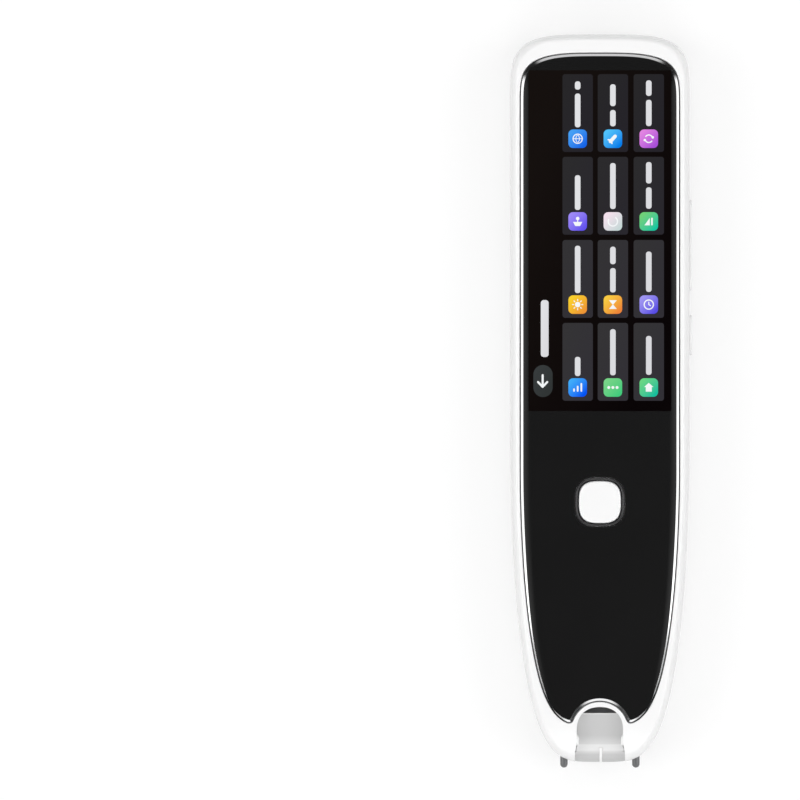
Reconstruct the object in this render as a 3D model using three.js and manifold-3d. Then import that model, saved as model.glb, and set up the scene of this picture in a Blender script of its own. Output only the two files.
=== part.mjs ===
// Translation scanner pen, lying on its back.
// Millimetres. +X is the side with the keys, +Y the top end, -Y the scanning tip, +Z the screen side.
// The origin is the centre of the flat back face.

import * as THREE from 'three';
import { mergeVertices } from 'three/addons/utils/BufferGeometryUtils.js';
import Module from 'manifold-3d';

const wasm = await Module();
wasm.setup();

// Driving dimensions of the body

const BODY = {
  halfWidth: 18.5,
  topY: 75,
  tipY: -75,
  topTaper: 13.5,
  tipTaperY: -6.5,
  thickness: 12.6,
  wall: 1.4,
  backRoundIn: 3.2,
  backRoundUp: 4,
  frontRoundIn: 1.6,
  frontRoundDown: 4.2,
  noseBackStartY: -48,
  noseBackRise: 2.6,
  noseFrontStartY: -66,
  noseFrontDrop: 3,
};
const TIP_POWERS = { along: 2.1, across: 3.9 };
const TOP_POWERS = { along: 3.8, across: 4.2 };
const TIP_STEPS = 15;
const TOP_STEPS = 8;
const EDGE_STEPS = 4;

const CUT_OVERRUN = 1;
const SEAT = 0.05;
const SEAM = 0.06;

// Glass panel, its ledge and the display under it

const GLASS = {
  sideIn: 2,
  topIn: 3.84,
  topTaper: 11.76,
  tipTaperY: -4.4,
  thickness: 1.1,
  proud: 0.25,
  gap: 0.15,
  arrisIn: 0.12,
  bevelIn: 0.46,
  bevelDrop: 0.16,
  crownIn: 1.57,
  crownDrop: 0.09,
  lobeRadius: 1,
  lobeLeastRadius: 0.15,
  lobeRise: 2.39,
  lobeTurn: 0.42,
};
const GLASS_TOP_POWERS = { along: 4.4, across: 3.4 };
const GLASS_TIP_POWERS = { along: 2.4, across: 3.8 };
const GLASS_TIP_STEPS = 13;
const GLASS_TOP_STEPS = 8;
const ARC_STEPS = 5;
const TAPE = { thickness: 0.2, edgeIn: 0.15, innerGap: 0.1 };
const LEDGE_THICKNESS = 1.2;

const DISPLAY = { sideIn: 1.2, topIn: 6.8, bottomY: -5.4, panel: 1.3, corner: 4, gap: 0.2 };
const TRAY = { thickness: 0.75, flangeIn: 1.4, recess: 0.3 };
const DISPLAY_FLEX = { width: 12, thickness: 0.15, startY: 6, dropY: -7, run: 4.5, bend: 2 };
const DISPLAY_PLUG = { width: 13, length: 3.4, height: 0.95, corner: 0.4 };

// Home button

const HOME = {
  y: -21.3,
  halfWidth: 4.3,
  power: 3,
  gap: 0.3,
  ringWidth: 0.4,
  ringFootHeight: 0.8,
  ringGap: 0.12,
  crown: 0.12,
  edgeIn: 0.5,
  flangeOut: 0.75,
  flangeHeight: 0.55,
  flangeGap: 0.06,
  stemRadius: 1.5,
  travel: 0.35,
  plungerGap: 0.1,
};
const HOME_STEPS = 28;

// Side keys, on the right side

const KEYS = {
  z: 8.3,
  height: 2.4,
  proud: 0.47,
  gap: 0.15,
  flangeOut: 0.7,
  flangeThickness: 0.5,
  flangeGap: 0.4,
  nubLength: 0.5,
  nubHalf: 0.6,
  edgeIn: 0.35,
  travel: 0.25,
  plungerGap: 0.1,
  rockerEndIn: 3.3,
};
const VOLUME_KEY = { y: 31.6, length: 18.6 };
const POWER_KEY = { y: 13.1, length: 8.3 };
const SIDE_SWITCH = { depth: 0.75, length: 3, height: 1.7, plunger: 0.3, plungerHalf: 0.5 };
const SIDE_BOARD = { thickness: 0.4, endOut: 3.2, height: 1.95 };

// Main board and what is on it

const BOARD = {
  underZ: 6.6,
  thickness: 0.8,
  sideRoom: 1.8,
  frontSideRoom: 6.1,
  bottomY: -46,
  taperY: -26,
  topIn: 9,
  corner: 2,
  keyBayIn: 1,
  keyBayOut: 2.6,
};
const BOSS = { radius: 2.1, hole: 0.55, gap: 0.05 };
const SCREW = {
  headRadius: 1.5,
  headHeight: 0.9,
  shaftRadius: 0.5,
  shaftLength: 2.4,
  slotWidth: 0.45,
  slotDepth: 0.4,
};
const SCREW_HOLE_CLEARANCE = 0.25;
// Screw places, as shares of the board's half width and of its length from the tip end
const BOARD_SCREW_SHARES = [
  [-0.84, 0.92],
  [0.84, 0.92],
  [-0.84, 0.3],
  [0.84, 0.3],
];
const SHIELD = { width: 19, length: 23, height: 1.3, corner: 0.8, y: 29, x: -2, lidLip: 0.3 };
const MEMORY = { width: 11, length: 13, height: 1, corner: 0.3, x: -3, y: 8 };
const POWER_CHIP = { width: 7, length: 7, height: 0.9, corner: 0.2, x: 7, y: -33 };
const HOME_SWITCH = {
  width: 4.2,
  length: 4.2,
  height: 0.85,
  corner: 0.4,
  plungerRadius: 1,
  plungerHeight: 0.35,
};
const MICROPHONE = { width: 3, length: 4, height: 1, corner: 0.3, sideIn: 5.3, holeRadius: 0.5 };
const USB = {
  halfWidth: 4.47,
  halfHeight: 1.58,
  shell: 0.3,
  length: 7.4,
  inset: 0.7,
  depth: 5.6,
  gap: 0.2,
  tongueHalfWidth: 3.3,
  tongueHeight: 0.7,
  tongueShort: 1.4,
};

// Power, sound and radio

const BATTERY = { sideRoom: 2.6, length: 56, height: 3.9, corner: 2.4, frontRoom: 1.4, tape: 0.25 };
const BATTERY_TAB = { width: 14, length: 3, thickness: 0.8, corner: 0.4, lift: 1.4 };
const BATTERY_PLUG = { width: 4, length: 4, height: 1.3, corner: 0.3, x: 3, ahead: 8 };
const LEAD = { radius: 0.35, offset: 0.8, sides: 8, steps: 12 };
const CRADLE = { gap: 0.3, thickness: 0.8, height: 1.8 };
const SPEAKER = { sideRoom: 5.1, length: 17, height: 3.4, corner: 2.5, y: 47, coneDepth: 0.7, coneIn: 2.2 };
const SPEAKER_MESH = { thickness: 0.25, in: 1 };
const GRILLE = { columns: 6, rows: 3, pitch: 2.4, radius: 0.65, sides: 8 };
const ANTENNA = { width: 20, length: 5, footWidth: 7, thickness: 0.2, reach: 9 };

// Scanner in the nose

const ARCH = {
  halfWidth: 4.76,
  power: 2.28,
  centreY: -68.2,
  rim: 1.04,
  mouthHalfWidth: 5.17,
  mouthY: -71.3,
};
const WINDOW = {
  topY: -64.7,
  gap: 0.08,
  thickness: 1,
  recess: 1.15,
  ridgeY: -72.35,
  ridgeZ: 9.5,
  lipY: -72.95,
  lipZ: 9.05,
  frontInset: 0.12,
  chinZ: 7,
  footZ: 4.3,
  mouthDelay: 0.9,
};
const AIM = { x: 0.18, width: 0.56, startY: -71.6, depth: 0.35, gap: 0.06, footZ: 6.4 };
const CHAMBER = {
  frontHalfWidth: 4.3,
  rearHalfWidth: 3.5,
  frontY: -71,
  rearY: -53.2,
  bottomZ: 4.5,
  topZ: 8.3,
  wall: 0.55,
  steps: 6,
};
const CAMERA = {
  halfWidth: 3.6,
  frontY: -51.6,
  rearY: -47.3,
  bottomZ: 4.1,
  topZ: 8.7,
  corner: 0.5,
  lensRadius: 2,
  lensLength: 1.3,
  glassRadius: 1.3,
  glassDepth: 0.4,
};
const CAMERA_FLEX = { width: 4, thickness: 0.15, startIn: 2.8, run: 4.2, drop: 2.6, plugRun: 3 };
const CAMERA_PLUG = { width: 6, length: 2.6, height: 0.5, corner: 0.3 };
const LIGHT_BOARD = { halfWidth: 4, frontY: -66.6, length: 5, thickness: 0.5, corner: 0.4 };
const LED = { width: 1.6, length: 1, height: 0.6, lens: 0.25, x: 2.8, corner: 0.15 };

// Scan trigger

const PIN = {
  x: 7.41,
  radius: 0.775,
  endY: -76.07,
  seat: 1.6,
  collarRadius: 1.15,
  collarLength: 0.8,
  guideRadius: 1.55,
  guideEndY: -70.2,
  gap: 0.12,
  sides: 14,
};
const TRIGGER_TRAVEL = 0.8;
const YOKE = {
  frontY: -57.6,
  rearY: -54.9,
  armHalfWidth: 1.15,
  armTopZ: 7.4,
  barTopZ: 3.6,
  bottomZ: 2.35,
  corner: 0.4,
  rodHalfWidth: 1.1,
  boreGap: 0.03,
};
const SPRING = {
  meanRadius: 0.95,
  wire: 0.17,
  turns: 6,
  wireSides: 5,
  stepsPerTurn: 8,
  spigotRadius: 0.5,
  spigotLength: 1,
};
const STOP = { y: -48.9, thickness: 1.2, halfWidth: 1.3 };
const TRIGGER_SWITCH = { halfWidth: 2.2, frontY: -45.6, length: 3.2, bottomZ: 2.35, corner: 0.3 };
const TRIGGER_PLUNGER = { radius: 0.6, length: 0.6, z: 3, gap: 0.15 };
const POST = { thickness: 1, x: 2.6, chamberY: -63.5 };

// Snap tongue between the two shells

const TONGUE = { height: 0.8, thickness: 0.6, gap: 0.12 };

// Heights and widths worked out from the driving dimensions

const GLASS_TOP_Z = BODY.thickness + GLASS.proud;
const GLASS_UNDER_Z = GLASS_TOP_Z - GLASS.thickness;
const TAPE_TOP_Z = GLASS_UNDER_Z - SEAT;
const LEDGE_Z = TAPE_TOP_Z - TAPE.thickness - SEAT;
const CEILING_Z = LEDGE_Z - LEDGE_THICKNESS;
const ROOF = BODY.thickness - CEILING_Z;
const DISPLAY_TOP_Z = GLASS_UNDER_Z - SEAT;
const DISPLAY_UNDER_Z = DISPLAY_TOP_Z - DISPLAY.panel;
const TRAY_TOP_Z = DISPLAY_UNDER_Z - SEAT;
const TRAY_UNDER_Z = TRAY_TOP_Z - TRAY.thickness;
const BOARD_TOP_Z = BOARD.underZ + BOARD.thickness;
const SPLIT_Z = (BODY.noseBackRise + BODY.thickness - BODY.noseFrontDrop) / 2;
const INNER_HALF_WIDTH = BODY.halfWidth - BODY.wall;
const GLASS_HALF_WIDTH = BODY.halfWidth - GLASS.sideIn;
const DISPLAY_HALF_WIDTH = GLASS_HALF_WIDTH - DISPLAY.sideIn;
const BOARD_HALF_WIDTH = INNER_HALF_WIDTH - BOARD.sideRoom;
const BOARD_FRONT_HALF_WIDTH = INNER_HALF_WIDTH - BOARD.frontSideRoom;
const BATTERY_WIDTH = 2 * (INNER_HALF_WIDTH - BATTERY.sideRoom);
const SPEAKER_WIDTH = 2 * (INNER_HALF_WIDTH - SPEAKER.sideRoom);
const ROCKER_PRESS_OFFSET = VOLUME_KEY.length / 2 - KEYS.rockerEndIn;
const BATTERY_Y = TRIGGER_SWITCH.frontY + TRIGGER_SWITCH.length + BATTERY.frontRoom + BATTERY.length / 2;
const BODY_TOP_TAPER_Y = BODY.topY - BODY.topTaper;
const GLASS_TOP_TAPER_Y = BODY.topY - GLASS.topIn - GLASS.topTaper;
const DISPLAY_TOP_Y = BODY.topY - DISPLAY.topIn;
const BOARD_TOP_Y = BODY.topY - BOARD.topIn;
const BOARD_LENGTH = BOARD_TOP_Y - BOARD.bottomY;

// Solids

function weldedTriangles(geometry) {
  const bare = geometry.clone();
  bare.deleteAttribute('normal');
  bare.deleteAttribute('uv');
  const welded = mergeVertices(bare);
  const kept = [];
  const index = welded.index.array;
  for (let i = 0; i < index.length; i += 3) {
    const [a, b, c] = [index[i], index[i + 1], index[i + 2]];
    if (a !== b && b !== c && c !== a) kept.push(a, b, c);
  }
  welded.setIndex(kept);
  return welded;
}

function solid(geometry) {
  const welded = weldedTriangles(geometry);
  return new wasm.Manifold(new wasm.Mesh({
    numProp: 3,
    vertProperties: new Float32Array(welded.attributes.position.array),
    triVerts: new Uint32Array(welded.index.array),
  }));
}

function geometryOf(manifold) {
  const mesh = manifold.getMesh();
  const geometry = new THREE.BufferGeometry();
  geometry.setAttribute('position', new THREE.BufferAttribute(new Float32Array(mesh.vertProperties), 3));
  geometry.setIndex(new THREE.BufferAttribute(new Uint32Array(mesh.triVerts), 1));
  return geometry;
}

function cut(base, ...cutters) {
  return cutters.reduce((rest, cutter) => rest.subtract(solid(cutter)), base);
}

function join(base, ...pieces) {
  return pieces.reduce((whole, piece) => whole.add(solid(piece)), base);
}

// Block between two corners
function block(low, high) {
  const geometry = new THREE.BoxGeometry(high[0] - low[0], high[1] - low[1], high[2] - low[2]);
  return geometry.translate((low[0] + high[0]) / 2, (low[1] + high[1]) / 2, (low[2] + high[2]) / 2);
}

// Outlines that run clockwise are turned round, so that faces point out
function counterClockwise(points) {
  return THREE.ShapeUtils.isClockWise(points) ? [...points].reverse() : points;
}

// Prism of an outline drawn in X and Y, between two heights
function prism(points, lowZ, highZ, holes = []) {
  const shape = new THREE.Shape(counterClockwise(points));
  for (const hole of holes) shape.holes.push(new THREE.Path(hole));
  const geometry = new THREE.ExtrudeGeometry(shape, { depth: highZ - lowZ, bevelEnabled: false });
  return geometry.translate(0, 0, lowZ);
}

// Prism of an outline drawn in Y and Z, between two places across the body
function crossPrism(points, lowX, highX) {
  const geometry = prism(points, 0, highX - lowX);
  geometry.rotateX(Math.PI / 2);
  geometry.rotateZ(Math.PI / 2);
  return geometry.translate(lowX, 0, 0);
}

// Prism of an outline drawn in X and Z, between two places along the body
function lengthPrism(points, lowY, highY) {
  const geometry = prism(points, 0, highY - lowY);
  geometry.rotateX(Math.PI / 2);
  return geometry.translate(0, highY, 0);
}

function roundedRectangle(width, length, corner, x = 0, y = 0) {
  const points = [];
  const centres = [[1, 1], [-1, 1], [-1, -1], [1, -1]];
  centres.forEach(([sideX, sideY], quarter) => {
    for (let step = 0; step <= EDGE_STEPS; step += 1) {
      const angle = (quarter + step / EDGE_STEPS) * Math.PI / 2;
      points.push(new THREE.Vector2(
        x + sideX * (width / 2 - corner) + corner * Math.cos(angle),
        y + sideY * (length / 2 - corner) + corner * Math.sin(angle),
      ));
    }
  });
  return points;
}

function circle(radius, sides, x = 0, y = 0) {
  const points = [];
  for (let step = 0; step < sides; step += 1) {
    const angle = 2 * Math.PI * step / sides;
    points.push(new THREE.Vector2(x + radius * Math.cos(angle), y + radius * Math.sin(angle)));
  }
  return points;
}

function squircle(halfWidth, power, y) {
  const points = [];
  for (let step = 0; step < HOME_STEPS; step += 1) {
    const angle = 2 * Math.PI * (step + 1 / 2) / HOME_STEPS;
    const [c, s] = [Math.cos(angle), Math.sin(angle)];
    const reach = halfWidth / (Math.abs(c) ** power + Math.abs(s) ** power) ** (1 / power);
    points.push(new THREE.Vector2(reach * c, y + reach * s));
  }
  return points;
}

// Rod along Y, turned from a profile of radius and place
function rodAlongY(profile, sides) {
  return new THREE.LatheGeometry(profile.map(([radius, y]) => new THREE.Vector2(radius, y)), sides);
}

function chip({ width, length, height, corner }) {
  return prism(roundedRectangle(width, length, corner), 0, height);
}

// Outlines of the body and of the glass

// Angles along a quarter of a superellipse, spread by a mix of length and turn
function spreadAngles({ along, across }, reach, halfWidth, steps, lastAngle = Math.PI / 2) {
  const fine = 60 * steps;
  const place = (angle) => [
    halfWidth * Math.cos(angle) ** (2 / across),
    reach * Math.sin(angle) ** (2 / along),
  ];
  const sums = [0];
  let before = place(0);
  let heading = Math.PI / 2;
  let turned = 0;
  let travelled = 0;
  const scale = Math.hypot(halfWidth, reach);
  for (let k = 1; k <= fine; k += 1) {
    const now = place(lastAngle * k / fine);
    const next = Math.atan2(now[1] - before[1], now[0] - before[0]);
    travelled += Math.hypot(now[0] - before[0], now[1] - before[1]) / scale;
    turned += Math.abs(next - heading) / Math.PI;
    sums.push(travelled + 2 * turned);
    before = now;
    heading = next;
  }
  const total = sums[fine];
  const angles = [];
  for (let step = 0; step <= steps; step += 1) {
    const k = sums.findIndex((sum) => sum >= total * step / steps * (1 - Number.EPSILON));
    angles.push(lastAngle * k / fine);
  }
  return angles;
}

const TIP_ANGLES = spreadAngles(TIP_POWERS, BODY.tipTaperY - BODY.tipY, BODY.halfWidth, TIP_STEPS);
const TOP_ANGLES = spreadAngles(TOP_POWERS, BODY.topTaper, BODY.halfWidth, TOP_STEPS);

// Right half of the body's plan outline, from the top end to the tip, drawn in by an inset
function bodySide(inset) {
  const halfWidth = BODY.halfWidth - inset;
  const side = [];
  for (const angle of [...TOP_ANGLES].reverse()) {
    side.push([
      halfWidth * Math.max(0, Math.cos(angle)) ** (2 / TOP_POWERS.across),
      BODY_TOP_TAPER_Y + (BODY.topTaper - inset) * Math.sin(angle) ** (2 / TOP_POWERS.along),
    ]);
  }
  for (const angle of TIP_ANGLES) {
    side.push([
      halfWidth * Math.max(0, Math.cos(angle)) ** (2 / TIP_POWERS.across),
      BODY.tipTaperY + (BODY.tipY + inset - BODY.tipTaperY) * Math.sin(angle) ** (2 / TIP_POWERS.along),
    ]);
  }
  side[0][0] = 0;
  side[side.length - 1][0] = 0;
  return side;
}

// Height of the back and of the front along the body: both close in towards the tip
function backZ(y) {
  const share = Math.max(0, (BODY.noseBackStartY - y) / (BODY.noseBackStartY - BODY.tipY));
  return BODY.noseBackRise * share ** 2;
}

function frontZ(y) {
  const share = Math.max(0, (BODY.noseFrontStartY - y) / (BODY.noseFrontStartY - BODY.tipY));
  return BODY.thickness - BODY.noseFrontDrop * share ** 2;
}

// Loft through levels of inset and height share, between a floor and a roof that follow the nose
function bodyLoft(levels, floorUp, roofDown) {
  const rings = levels.map(({ inset, share }) => bodySide(inset).map(([x, y]) => {
    const low = backZ(y) + floorUp;
    const high = frontZ(y) - roofDown;
    return [x, y, low + (high - low) * share];
  }));
  const count = rings[0].length;
  const ringSize = 2 * count - 2;
  const positions = [];
  for (const ring of rings) {
    for (const [x, y, z] of ring) positions.push(x, y, z);
    for (const [x, y, z] of ring.slice(1, count - 1).reverse()) positions.push(-x, y, z);
  }
  const index = [];
  for (let level = 0; level + 1 < rings.length; level += 1) {
    for (let k = 0; k < ringSize; k += 1) {
      const a = level * ringSize + k;
      const b = level * ringSize + (k + 1) % ringSize;
      index.push(a, a + ringSize, b, b, a + ringSize, b + ringSize);
    }
  }
  const top = (rings.length - 1) * ringSize;
  for (let k = 0; k + 1 < count; k += 1) {
    const [right, rightNext] = [k, k + 1];
    const [left, leftNext] = [(ringSize - k) % ringSize, ringSize - k - 1];
    index.push(right, rightNext, left, left, rightNext, leftNext);
    index.push(top + right, top + left, top + rightNext, top + left, top + leftNext, top + rightNext);
  }
  const geometry = new THREE.BufferGeometry();
  geometry.setAttribute('position', new THREE.Float32BufferAttribute(positions, 3));
  geometry.setIndex(index);
  return geometry;
}

// Levels of a body whose back and front edges are rounded as quarter ellipses
function roundedLevels(height, baseInset, backIn, backUp, frontIn, frontDown) {
  const levels = [];
  for (let step = 0; step <= EDGE_STEPS; step += 1) {
    const angle = step / EDGE_STEPS * Math.PI / 2;
    levels.push({
      inset: baseInset + backIn * (1 - Math.sin(angle)),
      share: backUp * (1 - Math.cos(angle)) / height,
    });
  }
  for (let step = 0; step <= EDGE_STEPS; step += 1) {
    const angle = step / EDGE_STEPS * Math.PI / 2;
    levels.push({
      inset: baseInset + frontIn * (1 - Math.cos(angle)),
      share: 1 - frontDown * (1 - Math.sin(angle)) / height,
    });
  }
  return levels;
}

function outerBody() {
  const levels = roundedLevels(
    BODY.thickness, 0, BODY.backRoundIn, BODY.backRoundUp, BODY.frontRoundIn, BODY.frontRoundDown,
  );
  return solid(bodyLoft(levels, 0, 0));
}

function innerBody() {
  const height = BODY.thickness - BODY.wall - ROOF;
  const backIn = Math.max(BODY.backRoundIn - BODY.wall, BODY.wall);
  const levels = roundedLevels(
    height, BODY.wall, backIn, BODY.backRoundUp - BODY.wall, BODY.wall / 2, BODY.wall,
  );
  return bodyLoft(levels, BODY.wall, ROOF);
}

// Upright ring-shaped band of the body outline, between two insets and two heights
function band(outerInset, innerInset, lowZ, highZ) {
  const whole = (inset) => {
    const side = bodySide(inset);
    const mirrored = side.slice(1, side.length - 1).reverse().map(([x, y]) => [-x, y]);
    return [...side, ...mirrored].map(([x, y]) => new THREE.Vector2(x, y));
  };
  return prism(whole(outerInset), lowZ, highZ, [whole(innerInset)]);
}

// Outline of the glass pocket, grown by an amount: its tip curve ends in two lobes round the arch
function glassOutline(grow) {
  const halfWidth = GLASS_HALF_WIDTH + grow;
  const topReach = GLASS.topTaper + grow;
  const rimRadius = ARCH.halfWidth + ARCH.rim - grow;
  const lobeRadius = Math.max(GLASS.lobeRadius + grow, GLASS.lobeLeastRadius);
  const lobeY = ARCH.centreY + GLASS.lobeRise - GLASS.lobeRadius - grow + lobeRadius;
  const lobeAngle = Math.asin((lobeY - ARCH.centreY) / (rimRadius + lobeRadius));
  const lobeX = (rimRadius + lobeRadius) * Math.cos(lobeAngle);
  const joinX = lobeX + lobeRadius * Math.sin(GLASS.lobeTurn);
  const joinY = lobeY - lobeRadius * Math.cos(GLASS.lobeTurn);
  const lastAngle = Math.acos((joinX / halfWidth) ** (GLASS_TIP_POWERS.across / 2));
  const tipReach = (GLASS.tipTaperY - joinY) / Math.sin(lastAngle) ** (2 / GLASS_TIP_POWERS.along);
  const side = [];
  const topAngles = spreadAngles(GLASS_TOP_POWERS, topReach, halfWidth, GLASS_TOP_STEPS).reverse();
  for (const angle of topAngles) {
    side.push([
      halfWidth * Math.max(0, Math.cos(angle)) ** (2 / GLASS_TOP_POWERS.across),
      GLASS_TOP_TAPER_Y + topReach * Math.sin(angle) ** (2 / GLASS_TOP_POWERS.along),
    ]);
  }
  side[0][0] = 0;
  for (const angle of spreadAngles(GLASS_TIP_POWERS, tipReach, halfWidth, GLASS_TIP_STEPS, lastAngle)) {
    side.push([
      halfWidth * Math.cos(angle) ** (2 / GLASS_TIP_POWERS.across),
      GLASS.tipTaperY - tipReach * Math.sin(angle) ** (2 / GLASS_TIP_POWERS.along),
    ]);
  }
  for (let step = 1; step <= ARC_STEPS; step += 1) {
    const turn = Math.PI / 2 - lobeAngle + GLASS.lobeTurn;
    const angle = GLASS.lobeTurn - Math.PI / 2 - turn * step / ARC_STEPS;
    side.push([lobeX + lobeRadius * Math.cos(angle), lobeY + lobeRadius * Math.sin(angle)]);
  }
  for (let step = 1; step <= 2 * ARC_STEPS; step += 1) {
    const angle = lobeAngle + (Math.PI / 2 - lobeAngle) * step / (2 * ARC_STEPS);
    side.push([rimRadius * Math.cos(angle), ARCH.centreY + rimRadius * Math.sin(angle)]);
  }
  side[side.length - 1][0] = 0;
  const mirrored = side.slice(1, side.length - 1).reverse().map(([x, y]) => [-x, y]);
  return [...side, ...mirrored].map(([x, y]) => new THREE.Vector2(x, y));
}

// Closed stack of outlines that have as many points each
function outlineStack(levels) {
  const positions = [];
  for (const { points, z } of levels) for (const point of points) positions.push(point.x, point.y, z);
  const count = levels[0].points.length;
  const index = [];
  for (let level = 0; level + 1 < levels.length; level += 1) {
    for (let k = 0; k < count; k += 1) {
      const a = level * count + k;
      const b = level * count + (k + 1) % count;
      index.push(a, b, a + count, b, b + count, a + count);
    }
  }
  const top = (levels.length - 1) * count;
  for (const [a, b, c] of THREE.ShapeUtils.triangulateShape(levels[0].points, [])) index.push(a, c, b);
  for (const [a, b, c] of THREE.ShapeUtils.triangulateShape(levels[levels.length - 1].points, [])) {
    index.push(top + a, top + b, top + c);
  }
  const geometry = new THREE.BufferGeometry();
  geometry.setAttribute('position', new THREE.Float32BufferAttribute(positions, 3));
  geometry.setIndex(index);
  return geometry;
}

// Cutters and features that both shells share

function archOutline(grow) {
  const radius = ARCH.halfWidth + grow;
  const points = [];
  for (let step = 0; step <= 4 * ARC_STEPS; step += 1) {
    const angle = Math.PI * step / (4 * ARC_STEPS);
    const across = Math.sign(Math.cos(angle)) * Math.abs(Math.cos(angle)) ** (2 / ARCH.power);
    const along = Math.abs(Math.sin(angle)) ** (2 / ARCH.power);
    points.push([radius * across, ARCH.centreY + radius * along]);
  }
  return points;
}

function windowCutter(lowZ) {
  const farY = BODY.tipY - CUT_OVERRUN;
  const outline = [
    ...archOutline(0),
    [-ARCH.halfWidth, ARCH.mouthY],
    [-ARCH.mouthHalfWidth, ARCH.mouthY],
    [-ARCH.mouthHalfWidth, farY],
    [ARCH.mouthHalfWidth, farY],
    [ARCH.mouthHalfWidth, ARCH.mouthY],
    [ARCH.halfWidth, ARCH.mouthY],
  ].map(([x, y]) => new THREE.Vector2(x, y));
  return prism(outline, lowZ, BODY.thickness + CUT_OVERRUN);
}

function pinBore(x) {
  const radius = PIN.radius + PIN.gap;
  const profile = [
    [0, BODY.tipY - CUT_OVERRUN],
    [radius, BODY.tipY - CUT_OVERRUN],
    [radius, PIN.guideEndY + CUT_OVERRUN],
    [0, PIN.guideEndY + CUT_OVERRUN],
  ];
  return rodAlongY(profile, PIN.sides).translate(x, 0, SPLIT_Z);
}

function pinGuide(x) {
  const profile = [
    [0, BODY.tipY],
    [PIN.guideRadius, BODY.tipY],
    [PIN.guideRadius, PIN.guideEndY],
    [0, PIN.guideEndY],
  ];
  return rodAlongY(profile, PIN.sides).translate(x, 0, SPLIT_Z);
}

const USB_Z = BOARD.underZ - SEAT - USB.halfHeight;
const USB_MOUTH_Y = BODY.topY - USB.inset;

function stadium(halfWidth, halfHeight, z) {
  const points = [];
  for (let step = 0; step <= 2 * EDGE_STEPS; step += 1) {
    const angle = -Math.PI / 2 + Math.PI * step / (2 * EDGE_STEPS);
    points.push([halfWidth - halfHeight + halfHeight * Math.cos(angle), z + halfHeight * Math.sin(angle)]);
  }
  for (let step = 0; step <= 2 * EDGE_STEPS; step += 1) {
    const angle = Math.PI / 2 + Math.PI * step / (2 * EDGE_STEPS);
    points.push([-halfWidth + halfHeight + halfHeight * Math.cos(angle), z + halfHeight * Math.sin(angle)]);
  }
  return points.map(([x, y]) => new THREE.Vector2(x, y));
}

// Prism along Y of an outline drawn in X and Z
function alongY(points, lowY, highY) {
  return lengthPrism(points.map((point) => new THREE.Vector2(point.x, point.y)), lowY, highY);
}

function usbCutter() {
  const outline = stadium(USB.halfWidth + USB.gap, USB.halfHeight + USB.gap, USB_Z);
  return alongY(outline, USB_MOUTH_Y - USB.length - USB.gap, BODY.topY + CUT_OVERRUN);
}

const MICROPHONE_X = BOARD_HALF_WIDTH - MICROPHONE.sideIn;
const MICROPHONE_Z = BOARD.underZ - SEAT - MICROPHONE.height / 2;

function microphoneCutter() {
  const profile = [
    [0, BOARD_TOP_Y],
    [MICROPHONE.holeRadius, BOARD_TOP_Y],
    [MICROPHONE.holeRadius, BODY.topY + CUT_OVERRUN],
    [0, BODY.topY + CUT_OVERRUN],
  ];
  return rodAlongY(profile, GRILLE.sides).translate(MICROPHONE_X, 0, MICROPHONE_Z);
}

// Key outline drawn in Y and Z, extruded across the wall
function keyPrism(y, length, grow, lowX, highX) {
  const outline = stadium((length / 2) + grow, (KEYS.height / 2) + grow, KEYS.z)
    .map((point) => new THREE.Vector2(point.x + y, point.y));
  return crossPrism(outline, lowX, highX);
}

const BOARD_SCREWS = BOARD_SCREW_SHARES.map(([sideShare, lengthShare]) => [
  sideShare * BOARD_HALF_WIDTH,
  BOARD.bottomY + lengthShare * BOARD_LENGTH,
]);

// Shells

function rearCover() {
  const above = block(
    [-2 * BODY.halfWidth, 2 * BODY.tipY, SPLIT_Z - SEAM],
    [2 * BODY.halfWidth, 2 * BODY.topY, 2 * BODY.thickness],
  );
  let shell = cut(outerBody(), above, innerBody());
  const tongueOuter = BODY.wall - TONGUE.thickness;
  const tongue = solid(band(tongueOuter, BODY.wall, SPLIT_Z - TONGUE.height, SPLIT_Z + TONGUE.height));
  shell = shell.add(tongue);

  // What stands on the inside of the back wall is trimmed to the body, so its feet follow the nose
  const inside = [];
  for (const side of [-1, 1]) {
    inside.push(cradleRib(side));
    inside.push(springStop(side));
    inside.push(post(side, POST.chamberY, CHAMBER.bottomZ - SEAT));
    inside.push(post(side, (CAMERA.frontY + CAMERA.rearY) / 2, CAMERA.bottomZ - SEAT));
    inside.push(pinGuide(side * PIN.x));
  }
  inside.push(...speakerFrame());
  const standing = inside.reduce((whole, piece) => whole.add(solid(piece)), solid(inside[0]));
  const trimmed = standing.intersect(outerBody());
  const guideTop = block(
    [-BODY.halfWidth, BODY.tipY - CUT_OVERRUN, SPLIT_Z - SEAM],
    [BODY.halfWidth, PIN.guideEndY + CUT_OVERRUN, BODY.thickness],
  );
  shell = shell.add(cut(trimmed, guideTop));
  for (const side of [-1, 1]) {
    shell = shell.add(solid(springSpigot(side)));
    shell = cut(shell, pinBore(side * PIN.x));
  }
  const openings = [windowCutter(WINDOW.footZ), usbCutter(), microphoneCutter(), ...grilleHoles()];
  return geometryOf(cut(shell, ...openings));
}

function cradleRib(side) {
  const inner = BATTERY_WIDTH / 2 + CRADLE.gap;
  const half = BATTERY.length / 3;
  const outline = roundedRectangle(CRADLE.thickness, 2 * half, CRADLE.thickness / 2,
    side * (inner + CRADLE.thickness / 2), BATTERY_Y);
  return prism(outline, BODY.wall / 2, BODY.wall + CRADLE.height);
}

function springStop(side) {
  return block(
    [side * PIN.x - STOP.halfWidth, STOP.y, BODY.wall / 2],
    [side * PIN.x + STOP.halfWidth, STOP.y + STOP.thickness, SPLIT_Z + STOP.halfWidth],
  );
}

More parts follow.
